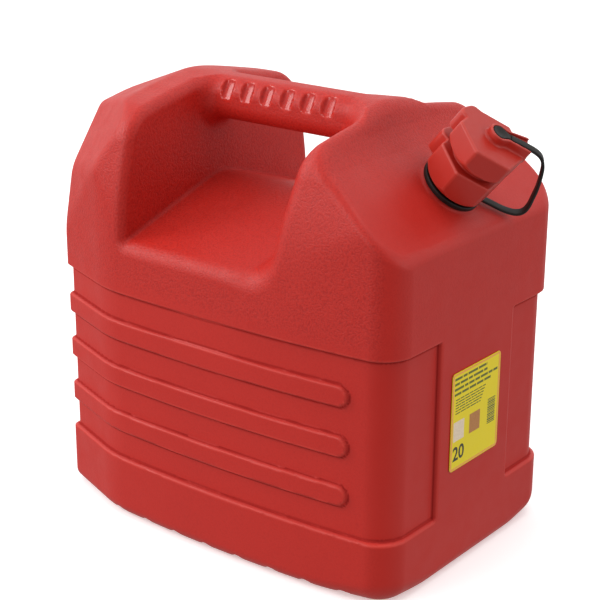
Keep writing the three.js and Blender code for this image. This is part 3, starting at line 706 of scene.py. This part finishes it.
def ring_field(x, y, z):
    radius = np.hypot(x, y)
    middle = (RING_RADIUS + NUT_BORE_RADIUS) / 2
    half = (RING_RADIUS - NUT_BORE_RADIUS) / 2
    return round_max(np.abs(radius - middle) - half, slab(z, RING_START, RING_TOP), RING_EDGE)


def eye_field(x, y, z):
    out, across = turned(x - BOSS_PLACE[0], y - BOSS_PLACE[1], STRAP_ANGLE)
    tail = np.maximum(np.maximum(out - EYE_REACH, -out), np.abs(across) - EYE_WAIST_HALF)
    head = np.hypot(out, across)
    field = round_min(tail, head - EYE_RADIUS, EYE_WAIST_HALF)
    half = STRAP_THICKNESS / 2
    field = round_max(field, slab(z, STRAP_HIGH - half, STRAP_HIGH + half), EYE_EDGE)
    dish = np.hypot(head, z - STRAP_HIGH - half - EYE_DISH_RADIUS + EYE_DISH_DEPTH) - EYE_DISH_RADIUS
    return round_max(field, -dish, EYE_EDGE)


def gradient(field, points, reach):
    """Slope of the field, and how convex it is, at each point."""
    slope = np.empty_like(points)
    axes = points.shape[1]
    bend = -2 * axes * field(*points.T)
    for axis in range(axes):
        step = np.zeros(axes)
        step[axis] = reach
        after, before = field(*(points + step).T), field(*(points - step).T)
        slope[:, axis] = (after - before) / (2 * reach)
        bend = bend + after + before
    return slope, bend / reach**2


def surface_cells(values, inside):
    """One vertex in each grid cell that the surface crosses, in cell units."""
    corners = np.array([[i, j, k] for i in (0, 1) for j in (0, 1) for k in (0, 1)])
    wide, deep, high = np.array(values.shape) - 1
    count = np.zeros((wide, deep, high), dtype=np.uint8)
    for i, j, k in corners:
        count += inside[i : i + wide, j : j + deep, k : k + high]
    cells = np.argwhere((count > 0) & (count < len(corners)))
    total = np.zeros(cells.shape)
    crossings = np.zeros(len(cells))
    held = [values[tuple((cells + corner).T)] for corner in corners]
    pairs = [(a, b) for a in range(len(corners)) for b in range(a)]
    for a, b in pairs:
        if abs(corners[a] - corners[b]).sum() > 1:
            continue
        crossed = (held[a] < 0) != (held[b] < 0)
        share = np.where(crossed, held[a] / np.where(crossed, held[a] - held[b], 1), 0)
        crossing = corners[a] + share[:, None] * (corners[b] - corners[a])
        total += np.where(crossed[:, None], crossing, 0)
        crossings += crossed
    return cells, cells + total / crossings[:, None]


def surface_quads(inside, cells):
    """A quad round each grid edge that the surface crosses, wound to face outwards."""
    index = np.full(np.array(inside.shape) - 1, -1, dtype=np.int64)
    index[tuple(cells.T)] = np.arange(len(cells))
    quads = []
    for axis in range(3):
        u, v = np.eye(3, dtype=int)[(axis + 1) % 3], np.eye(3, dtype=int)[(axis + 2) % 3]
        first = np.take(inside, range(inside.shape[axis] - 1), axis)
        last = np.take(inside, range(1, inside.shape[axis]), axis)
        nodes = np.argwhere(first != last)
        leaving = first[tuple(nodes.T)]
        quad = np.stack([index[tuple((nodes - shift).T)] for shift in (u + v, v, 0 * u, u)], 1)
        quads.append(np.where(leaving[:, None], quad, quad[:, ::-1]))
    return np.concatenate(quads)


def new_object(name, data):
    made = bpy.data.objects.new(name, data)
    bpy.context.scene.collection.objects.link(made)
    return made


def new_mesh_object(name, vertices, faces):
    mesh = bpy.data.meshes.new(name)
    mesh.from_pydata(vertices, [], faces)
    return new_object(name, mesh)


def place(points, in_neck):
    """From millimetres in the can's or the neck's frame to metres in the row's."""
    if in_neck:
        cos, sin = math.cos(NECK_TILT), math.sin(NECK_TILT)
        along, side, height = points.T
        x = NECK_X + along * cos + height * sin
        z = NECK_Z - along * sin + height * cos
        points = np.stack([x, side, z], 1)
    return (points + np.array([SHIFT, 0, 0])) * MM


def turn_normals(normals, in_neck):
    if not in_neck:
        return normals
    cos, sin = math.cos(NECK_TILT), math.sin(NECK_TILT)
    along, side, height = normals.T
    return np.stack([along * cos + height * sin, side, height * cos - along * sin], 1)


def add_attribute(piece, name, values):
    layer = piece.data.attributes.new(name, "FLOAT", "POINT")
    layer.data.foreach_set("value", np.asarray(values, dtype=np.float32))


def mesh_from_field(name, field, low, high, grid, in_neck=False):
    """Meshes where the field is zero: points on the exact surface, with its exact normals."""
    axes = [np.arange(a, b + step, step, dtype=np.float32) for a, b, step in zip(low, high, grid)]
    values = field(axes[0][:, None, None], axes[1][None, :, None], axes[2][None, None, :])
    inside = values < 0
    cells, vertices = surface_cells(values, inside)
    faces = surface_quads(inside, cells)
    points = np.array(low) + vertices * np.array(grid)
    limit = SNAP_LIMIT_SHARE * max(grid)
    for _ in range(SNAP_ROUNDS):
        slope, _ = gradient(field, points, GRADIENT_REACH)
        steep = np.maximum((slope**2).sum(1), LEAST_STEEPNESS)
        step = field(*points.T) / steep
        points = points - np.clip(step, -limit, limit)[:, None] * slope
    slope, _ = gradient(field, points, GRADIENT_REACH)
    normals = slope / np.maximum(np.linalg.norm(slope, axis=1), LEAST_LENGTH)[:, None]
    piece = new_mesh_object(name, place(points, in_neck).tolist(), faces.tolist())
    piece.data.shade_smooth()
    piece.data.normals_split_custom_set_from_vertices(turn_normals(normals, in_neck).tolist())
    # How convex the surface is, for painted highlights on edges and painted shade in creases
    _, bend = gradient(field, points, EDGE_REACH)
    add_attribute(piece, "edge", np.clip(bend * EDGE_REACH, -1, 1))
    return piece, points


def node(tree, kind, **inputs):
    made = tree.nodes.new(kind)
    for name, value in inputs.items():
        made.inputs[name.replace("_", " ")].default_value = value
    return made


def math_node(tree, operation, first, second=None, clamp=False):
    made = tree.nodes.new("ShaderNodeMath")
    made.operation = operation
    made.use_clamp = clamp
    for slot, value in enumerate((first, second)):
        if value is None:
            continue
        if hasattr(value, "links"):
            tree.links.new(value, made.inputs[slot])
        else:
            made.inputs[slot].default_value = value
    return made.outputs[0]


def ramp(tree, value, from_low, from_high, to_low, to_high):
    made = tree.nodes.new("ShaderNodeMapRange")
    made.inputs["From Min"].default_value = from_low
    made.inputs["From Max"].default_value = from_high
    made.inputs["To Min"].default_value = to_low
    made.inputs["To Max"].default_value = to_high
    tree.links.new(value, made.inputs["Value"])
    return made.outputs["Result"]


def mixed(tree, share, first, second):
    """A colour between two, each a plain colour or an output."""
    made = tree.nodes.new("ShaderNodeMix")
    made.data_type = "RGBA"
    tree.links.new(share, made.inputs["Factor"])
    for slot, value in (("A", first), ("B", second)):
        target = [entry for entry in made.inputs if entry.name == slot and entry.type == "RGBA"][0]
        if hasattr(value, "links"):
            tree.links.new(value, target)
        else:
            target.default_value = (*value, 1)
    return [entry for entry in made.outputs if entry.type == "RGBA"][0]


def noise(tree, scale, detail, roughness=0.5):
    """Noise in object space. scale is the number of blots to a metre."""
    where = tree.nodes.new("ShaderNodeTexCoord")
    made = node(tree, "ShaderNodeTexNoise", Scale=scale, Detail=detail, Roughness=roughness)
    tree.links.new(where.outputs["Object"], made.inputs["Vector"])
    return made.outputs["Fac"]


def attribute(tree, name):
    made = tree.nodes.new("ShaderNodeAttribute")
    made.attribute_name = name
    return made.outputs["Fac"]


def new_material(name):
    material = bpy.data.materials.new(name)
    material.use_nodes = True
    tree = material.node_tree
    return material, tree, tree.nodes["Principled BSDF"]


def set_colour(tree, shader, share, colours):
    tree.links.new(mixed(tree, share, *colours), shader.inputs["Base Color"])


def set_roughness(tree, shader, pattern, limits):
    rough = ramp(tree, pattern, *NOISE_RANGE, *limits)
    tree.links.new(rough, shader.inputs["Roughness"])


def set_bump(tree, shader, height, bump, share=None):
    """A bump from a pattern, at full strength or at a share of it that varies over the surface."""
    strength, depth = bump
    made = node(tree, "ShaderNodeBump", Strength=strength, Distance=depth)
    if share is not None:
        tree.links.new(math_node(tree, "MULTIPLY", share, strength), made.inputs["Strength"])
    tree.links.new(height, made.inputs["Height"])
    tree.links.new(made.outputs["Normal"], shader.inputs["Normal"])


def red_hdpe():
    """Blow-moulded red: grained sides, smoother ribs and end, polished grooves. Convex edges get a
    painted highlight, creases and the grain's pits painted shade.
    """
    material, tree, shader = new_material("red_hdpe")
    shader.inputs["Specular IOR Level"].default_value = BODY_SPECULAR
    shader.inputs["Subsurface Weight"].default_value = BODY_SUBSURFACE
    shader.inputs["Subsurface Radius"].default_value = BODY_SUBSURFACE_RADIUS
    shader.inputs["Subsurface Scale"].default_value = 1
    grain = noise(tree, *BODY_GRAIN)
    grained = attribute(tree, "grain")
    edge = attribute(tree, "edge")
    groove = attribute(tree, "groove")
    colour = mixed(tree, noise(tree, *BODY_MOTTLE), *BODY_COLOURS)
    # Painted shade in the grain's pits, where its bump is low
    pit_shade = math_node(tree, "MULTIPLY", ramp(tree, grain, *PIT_SHADE_RANGE, 0, PIT_SHADE_SHARE), grained)
    colour = mixed(tree, pit_shade, colour, PIT_SHADE_COLOUR)
    # Painted highlight on convex edges and ridges
    ridge = ramp(tree, edge, *RIDGE_HIGHLIGHT_RANGE, 0, RIDGE_HIGHLIGHT_SHARE)
    colour = mixed(tree, ridge, colour, RIDGE_HIGHLIGHT_COLOUR)
    # Painted shade in concave creases, which are also made rougher
    crease_shade = ramp(tree, edge, *CREASE_SHADE_RANGE, 0, CREASE_SHADE_SHARE)
    set_colour(tree, shader, crease_shade, (colour, CREASE_SHADE_COLOUR))
    plain = math_node(tree, "SUBTRACT", 1, groove, clamp=True)
    set_bump(tree, shader, grain, BODY_BUMP, math_node(tree, "MULTIPLY", grained, plain))
    rough = ramp(tree, noise(tree, *BODY_SMEARS), *NOISE_RANGE, *BODY_ROUGHNESS)
    rough = math_node(tree, "SUBTRACT", rough, math_node(tree, "MULTIPLY", groove, POLISH))
    rough = math_node(tree, "ADD", rough, crease_shade, clamp=True)
    tree.links.new(rough, shader.inputs["Roughness"])
    return material


def closure_red():
    """Injection-moulded nut and cap: satin, a little more orange, painted highlights on edges."""
    material, tree, shader = new_material("closure_red")
    shader.inputs["Specular IOR Level"].default_value = CLOSURE_SPECULAR
    colour = mixed(tree, noise(tree, *CLOSURE_MOTTLE), *CLOSURE_COLOURS)
    # Painted highlight on convex edges
    edge_highlight = ramp(tree, attribute(tree, "edge"), *EDGE_HIGHLIGHT_RANGE, 0, EDGE_HIGHLIGHT_SHARE)
    set_colour(tree, shader, edge_highlight, (colour, EDGE_HIGHLIGHT_COLOUR))
    set_roughness(tree, shader, noise(tree, *CLOSURE_SMEARS), CLOSURE_ROUGHNESS)
    set_bump(tree, shader, noise(tree, *CLOSURE_GRAIN), CLOSURE_BUMP)
    return material


def black_rubber():
    """Satin black rubber, paler and duller where dust lies on it."""
    material, tree, shader = new_material("black_rubber")
    shader.inputs["Specular IOR Level"].default_value = RUBBER_SPECULAR
    dust = noise(tree, *RUBBER_DUST)
    set_colour(tree, shader, ramp(tree, dust, *DUST_RANGE, 0, 1), RUBBER_COLOURS)
    set_roughness(tree, shader, dust, RUBBER_ROUGHNESS)
    set_bump(tree, shader, noise(tree, *RUBBER_GRAIN), RUBBER_BUMP)
    return material


def black_plastic():
    material, tree, shader = new_material("black_plastic")
    set_colour(tree, shader, noise(tree, *PLASTIC_MOTTLE), PLASTIC_COLOURS)
    set_roughness(tree, shader, noise(tree, *PLASTIC_SMEARS), PLASTIC_ROUGHNESS)
    set_bump(tree, shader, noise(tree, *PLASTIC_GRAIN), PLASTIC_BUMP)
    return material


def white_foam():
    material, tree, shader = new_material("white_foam")
    cells = noise(tree, *FOAM_CELLS)
    set_colour(tree, shader, cells, FOAM_COLOURS)
    shader.inputs["Roughness"].default_value = FOAM_ROUGHNESS
    set_bump(tree, shader, cells, FOAM_BUMP)
    return material


def label_film():
    """Yellow film of slightly uneven colour, with a soft gloss and low waves."""
    material, tree, shader = new_material("label_film")
    shader.inputs["Specular IOR Level"].default_value = FILM_SPECULAR
    set_colour(tree, shader, noise(tree, *FILM_MOTTLE), FILM_COLOURS)
    set_roughness(tree, shader, noise(tree, *FILM_SMEARS), FILM_ROUGHNESS)
    set_bump(tree, shader, noise(tree, *FILM_WAVES), FILM_BUMP)
    return material


def ink(name, colour):
    material, tree, shader = new_material(name)
    paler = tuple(min(1, channel * INK_PALING + INK_LIFT) for channel in colour)
    set_colour(tree, shader, noise(tree, *INK_MOTTLE), (colour, paler))
    set_roughness(tree, shader, noise(tree, *INK_SMEARS), INK_ROUGHNESS)
    return material


def floor_material():
    material, tree, shader = new_material("studio_floor")
    set_colour(tree, shader, noise(tree, *FLOOR_MOTTLE), FLOOR_COLOURS)
    shader.inputs["Roughness"].default_value = FLOOR_ROUGHNESS
    shader.inputs["Emission Color"].default_value = WHITE
    shader.inputs["Emission Strength"].default_value = FLOOR_GLOW
    return material


RED_HDPE = red_hdpe()
CLOSURE_RED = closure_red()
BLACK_RUBBER = black_rubber()
BLACK_PLASTIC = black_plastic()
WHITE_FOAM = white_foam()
LABEL_FILM = label_film()


def dress(piece, material, body, slot, *replaced):
    piece.data.materials.clear()
    piece.data.materials.append(material)
    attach(piece, body)
    if replaced:
        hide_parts(*replaced)


def redress(name, material):
    """A CAD node that stays as it is gets its finish."""
    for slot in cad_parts[name].material_slots:
        slot.material = material


def make_container():
    ends, sides = HALF_LENGTH + GRID_MARGIN, HALF_WIDTH + SIDE_BOW + GRID_MARGIN
    low, high = (-ends, -sides, -GRID_MARGIN), (ends, sides, RIDGE_HEIGHT + GRID_MARGIN)
    body, points = mesh_from_field("container", body_field, low, high, BODY_GRID)
    polish = smooth_step(-groove_field(*points.T), -POLISH_START, -POLISH_FULL)
    add_attribute(body, "groove", polish)
    add_attribute(body, "grain", grain_share(*points.T))
    dress(body, RED_HDPE, "container", "red_hdpe", "container_body")
    reach = PAD_RADIUS + GRID_MARGIN
    low, high = (-reach, -reach, -NECK_FOOT_DEPTH - GRID_MARGIN), (reach, reach, NECK_HEIGHT + GRID_MARGIN)
    neck, _ = mesh_from_field("container_neck", neck_field, low, high, CLOSURE_GRID, True)
    dress(neck, RED_HDPE, "container", "red_hdpe")


def make_closures():
    reach = NUT_LOBE_REACH + 2 * GRID_MARGIN
    low, high = (-reach, -reach, NUT_START - GRID_MARGIN), (reach, reach, COLLAR_TOP + GRID_MARGIN)
    nut, _ = mesh_from_field("ring_nut", nut_field, low, high, CLOSURE_GRID, True)
    dress(nut, CLOSURE_RED, "nut", "closure_red", "spout_nut")
    low, high = (-reach, -reach, CAP_START - GRID_MARGIN), (reach, reach, BOSS_TOP + GRID_MARGIN)
    cap, _ = mesh_from_field("cap", cap_field, low, high, CLOSURE_GRID, True)
    dress(cap, CLOSURE_RED, "cap", "closure_red", "screw_cap")


def spline(values, steps):
    """A uniform Catmull-Rom curve through the values."""
    values = np.asarray(values, dtype=float)
    padded = np.concatenate([values[:1], values, values[-1:]])
    parameter = np.linspace(0, len(values) - 1, steps)
    start = np.minimum(parameter.astype(int), len(values) - 2)
    t = (parameter - start)[:, None]
    a, b, c, d = (padded[start + i] for i in range(4))
    squared = a - 2.5 * b + 2 * c - d / 2
    cubed = 1.5 * (b - c) + (d - a) / 2
    return b + t * (c - a) / 2 + t**2 * squared + t**3 * cubed


def even_steps(line, count):
    """The line's points again, at equal distances along it."""
    lengths = np.concatenate([[0], np.cumsum(np.linalg.norm(np.diff(line, axis=0), axis=1))])
    at = np.linspace(0, lengths[-1], count)
    return np.stack([np.interp(at, lengths, column) for column in line.T], 1)


def rounded_section(width, thickness, radius):
    """Points round a flat section with round corners."""
    points = []
    steps = STRAP_CORNER_STEPS
    for corner in range(4):
        side, up = (1 if corner in (0, 3) else -1), (1 if corner < 2 else -1)
        centre = (side * (width / 2 - radius), up * (thickness / 2 - radius))
        for step in range(steps + 1):
            angle = (corner + step / steps) * math.pi / 2
            points.append((centre[0] + radius * math.cos(angle), centre[1] + radius * math.sin(angle)))
    return np.array(points)


def strap_line():
    """The strap's middle: out from the ring, round a bend past the can's end, back over the cap."""
    turn = STRAP_REACH_SHARES.index(1)
    line = []
    for i, (reach_share, rise_share) in enumerate(zip(STRAP_REACH_SHARES, STRAP_RISE_SHARES)):
        near = STRAP_GAP + (RING_RADIUS if i < turn else EYE_REACH)
        reach = near + (STRAP_REACH - near) * reach_share
        line.append((reach, STRAP_LOW + (STRAP_HIGH - STRAP_LOW) * rise_share))
    return even_steps(spline(line, STRAP_FINE_STEPS), STRAP_STEPS)


def strap_rings(line):
    """The strap's section at each place of its middle line, in the neck's frame."""
    tangent = np.gradient(line, axis=0)
    tangent /= np.linalg.norm(tangent, axis=1)[:, None]
    across = np.stack([-tangent[:, 1], tangent[:, 0]], 1)
    section = rounded_section(STRAP_WIDTH, STRAP_THICKNESS, STRAP_EDGE)
    rings = line[:, None, :] + across[:, None, :] * section[None, :, 1:2]
    reach, height = rings[..., 0], rings[..., 1]
    side = np.broadcast_to(section[None, :, 0], reach.shape)
    cos, sin = math.cos(STRAP_ANGLE), math.sin(STRAP_ANGLE)
    lift = (height - STRAP_LOW) / (STRAP_HIGH - STRAP_LOW)
    x = reach * cos - side * sin + lift * BOSS_PLACE[0]
    y = reach * sin + side * cos + lift * BOSS_PLACE[1]
    return np.stack([x, y, height], -1)


def make_strap():
    rings = strap_rings(strap_line())
    last, count = len(rings) - 1, rings.shape[1]
    faces = []
    for i in range(last):
        for j in range(count):
            k = (j + 1) % count
            faces.append((i * count + j, i * count + k, (i + 1) * count + k, (i + 1) * count + j))
    ends = [tuple(range(count - 1, -1, -1)), tuple(last * count + j for j in range(count))]
    strap = new_mesh_object("strap", place(rings.reshape(-1, 3), True).tolist(), faces + ends)
    strap.data.shade_smooth()
    strap.data.materials.append(BLACK_RUBBER)
    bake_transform(strap)
    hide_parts("tether_strap")


def make_tether():
    reach = RING_RADIUS + RING_MARGIN
    low, high = (-reach, -reach, RING_START - RING_MARGIN), (reach, reach, RING_TOP + RING_MARGIN)
    ring, _ = mesh_from_field("strap_ring", ring_field, low, high, CLOSURE_GRID, True)
    dress(ring, BLACK_RUBBER, "tether", "black_rubber", "tether_ring")
    reach = EYE_REACH + GRID_MARGIN
    bottom, top = STRAP_HIGH - STRAP_THICKNESS, STRAP_HIGH + STRAP_THICKNESS
    low, high = (-reach, -reach, bottom), (reach, reach, top)
    eye, _ = mesh_from_field("strap_eye", eye_field, low, high, RUBBER_GRID, True)
    dress(eye, BLACK_RUBBER, "cap", "black_rubber", "tether_eye")
    make_strap()


def print_place(across, down):
    """A place on the label, given by its shares across and down."""
    width, height = LABEL_HIGH.y - LABEL_LOW.y, LABEL_HIGH.z - LABEL_LOW.z
    return LABEL_HIGH.x + PRINT_LIFT, LABEL_LOW.y + width * across, LABEL_HIGH.z - height * down


def print_piece(name, colour, rectangles):
    """Rectangles of one ink, each given by its left, top, right and bottom."""
    vertices = []
    for left, top, right, bottom in rectangles:
        corners = ((left, bottom), (right, bottom), (right, top), (left, top))
        vertices += [print_place(*corner) for corner in corners]
    faces = [tuple(range(first, first + 4)) for first in range(0, len(vertices), 4)]
    piece = new_mesh_object(f"label_{name}", vertices, faces)
    dress(piece, colour, "container", "label_film")


def text_bars(shares, ends, seed):
    """Lines of plain bars where lines of text would be."""
    first, pitch, thick, left, gap, longest = shares
    bars = []
    for i, right in enumerate(ends):
        top = first + i * pitch
        at = left
        kind = seed + i
        while at < right:
            kind = (kind * WORD_FACTOR + WORD_STEP) % WORD_KINDS
            length_share = WORD_LEAST_SHARE + (1 - WORD_LEAST_SHARE) * kind / (WORD_KINDS - 1)
            end = min(at + longest * length_share, right)
            bars.append((at, top, end, top + thick))
            at = end + gap
    return bars


def border_bars():
    side, top, inner = BORDER_SIDE_SHARE, BORDER_TOP_SHARE, BORDER_INNER_SHARE
    return [
        (side, top, 1 - side, inner),
        (side, 1 - inner, 1 - side, 1 - top),
        (side, inner, side + inner, 1 - inner),
        (1 - side - inner, inner, 1 - side, 1 - inner),
    ]


def stripe_bars():
    """Plain stripes of varied thickness, one under the other."""
    left, right = STRIPE_SIDE_SHARES
    bars = []
    at = STRIPE_TOP_SHARE
    for i in range(STRIPE_COUNT):
        kind = (i * STRIPE_FACTOR + STRIPE_STEP) % STRIPE_KINDS
        thick = STRIPE_THIN_SHARE + STRIPE_EXTRA_SHARE * kind / (STRIPE_KINDS - 1)
        bars.append((left, at, right, at + thick))
        at += thick + STRIPE_GAP_SHARE
    return bars


def make_label_number():
    """The capacity in litres. A text lies in its own XY plane, so it is turned to face along +X."""
    number = bpy.data.curves.new("label_number", "FONT")
    number.body = "20"
    number.size = NUMBER_SIZE * MM
    number.offset = NUMBER_BOLDNESS * MM
    number.extrude = PRINT_LIFT / 2
    number.resolution_u = NUMBER_CURVE_STEPS
    number.materials.append(ink("ink_black", NUMBER_INK))
    piece = new_object("label_number", number)
    turn = Matrix(((0, 0, 1, 0), (1, 0, 0, 0), (0, 1, 0, 0), (0, 0, 0, 1)))
    piece.matrix_world = Matrix.Translation(print_place(*NUMBER_PLACE_SHARES)) @ turn
    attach(piece, "container")


def make_label_print():
    lines = text_bars(HEADING_SHARES, HEADING_END_SHARES, HEADING_SEED)
    lines += text_bars(TEXT_SHARES, TEXT_END_SHARES, TEXT_SEED)
    print_piece("lines", ink("ink_green", LINE_INK), lines)
    print_piece("border", ink("ink_orange", BORDER_INK), border_bars())
    print_piece("square", ink("ink_pale", PALE_INK), [PALE_SQUARE_SHARES])
    print_piece("diamond", ink("ink_brown", BROWN_INK), [BROWN_SQUARE_SHARES])
    print_piece("stripes", ink("ink_dark", STRIPE_INK), stripe_bars())
    make_label_number()


def aimed(origin, target):
    """The turn that points a camera or lamp at the target."""
    return (Vector(target) - Vector(origin)).to_track_quat("-Z", "Y")


def make_camera():
    """The photograph's view."""
    origin, target = [Vector((x + SHIFT, y, z)) * MM for x, y, z in (CAMERA_PLACE, CAMERA_TARGET)]
    data = bpy.data.cameras.new("camera")
    data.sensor_width = SENSOR_WIDTH
    data.lens = LENS
    camera = new_object("camera", data)
    turn = aimed(origin, target).to_matrix().to_4x4()
    roll = Matrix.Rotation(CAMERA_ROLL, 4, "Z")
    camera.matrix_world = Matrix.Translation(origin) @ turn @ roll
    bpy.context.scene.camera = camera


def make_lamp(name, origin, power):
    data = bpy.data.lights.new(name, "AREA")
    data.shape = "DISK"
    data.size = LAMP_SIZE
    data.energy = power
    lamp = new_object(name, data)
    lamp.location = origin
    lamp.rotation_euler = aimed(origin, LAMP_TARGET).to_euler()


def make_world():
    """White to the camera, and soft light on the can that is dimmer from the front corner."""
    world = bpy.data.worlds.new("studio")
    world.use_nodes = True
    tree = world.node_tree
    background = tree.nodes["Background"]
    direction = tree.nodes.new("ShaderNodeTexCoord").outputs["Generated"]
    facing = tree.nodes.new("ShaderNodeVectorMath")
    facing.operation = "DOT_PRODUCT"
    facing.inputs[1].default_value = DIM_DIRECTION
    tree.links.new(direction, facing.inputs[0])
    split = tree.nodes.new("ShaderNodeSeparateXYZ")
    tree.links.new(direction, split.inputs[0])
    strength = ramp(tree, split.outputs["Z"], *HORIZON_RANGE, LOW_STRENGTH, WORLD_STRENGTH)
    dimmed = ramp(tree, facing.outputs["Value"], DIM_EDGE, 1, 1, DIM_SHARE)
    strength = math_node(tree, "MULTIPLY", strength, dimmed)
    seen = tree.nodes.new("ShaderNodeLightPath").outputs["Is Camera Ray"]
    strength = math_node(tree, "MAXIMUM", strength, seen)
    tree.links.new(strength, background.inputs["Strength"])
    background.inputs["Color"].default_value = WHITE
    bpy.context.scene.world = world


def make_floor():
    """A floor that carries the can's shadow but throws no light of its own on it."""
    low, high = -FLOOR_REACH, FLOOR_REACH
    corners = [(low, low, 0), (high, low, 0), (high, high, 0), (low, high, 0)]
    floor = new_mesh_object("floor", corners, [(0, 1, 2, 3)])
    floor.visible_diffuse = False
    floor.visible_glossy = False
    floor.data.materials.append(floor_material())


def make_studio():
    bpy.context.scene.view_settings.view_transform = "Standard"
    make_world()
    make_floor()
    for name, (origin, power) in LAMPS.items():
        make_lamp(name, origin, power)


make_container()
make_closures()
make_tether()
make_label_print()
redress("neck_seal", BLACK_RUBBER)
redress("pouring_spout", BLACK_PLASTIC)
redress("cap_liner", WHITE_FOAM)
redress("label", LABEL_FILM)
make_camera()
make_studio()
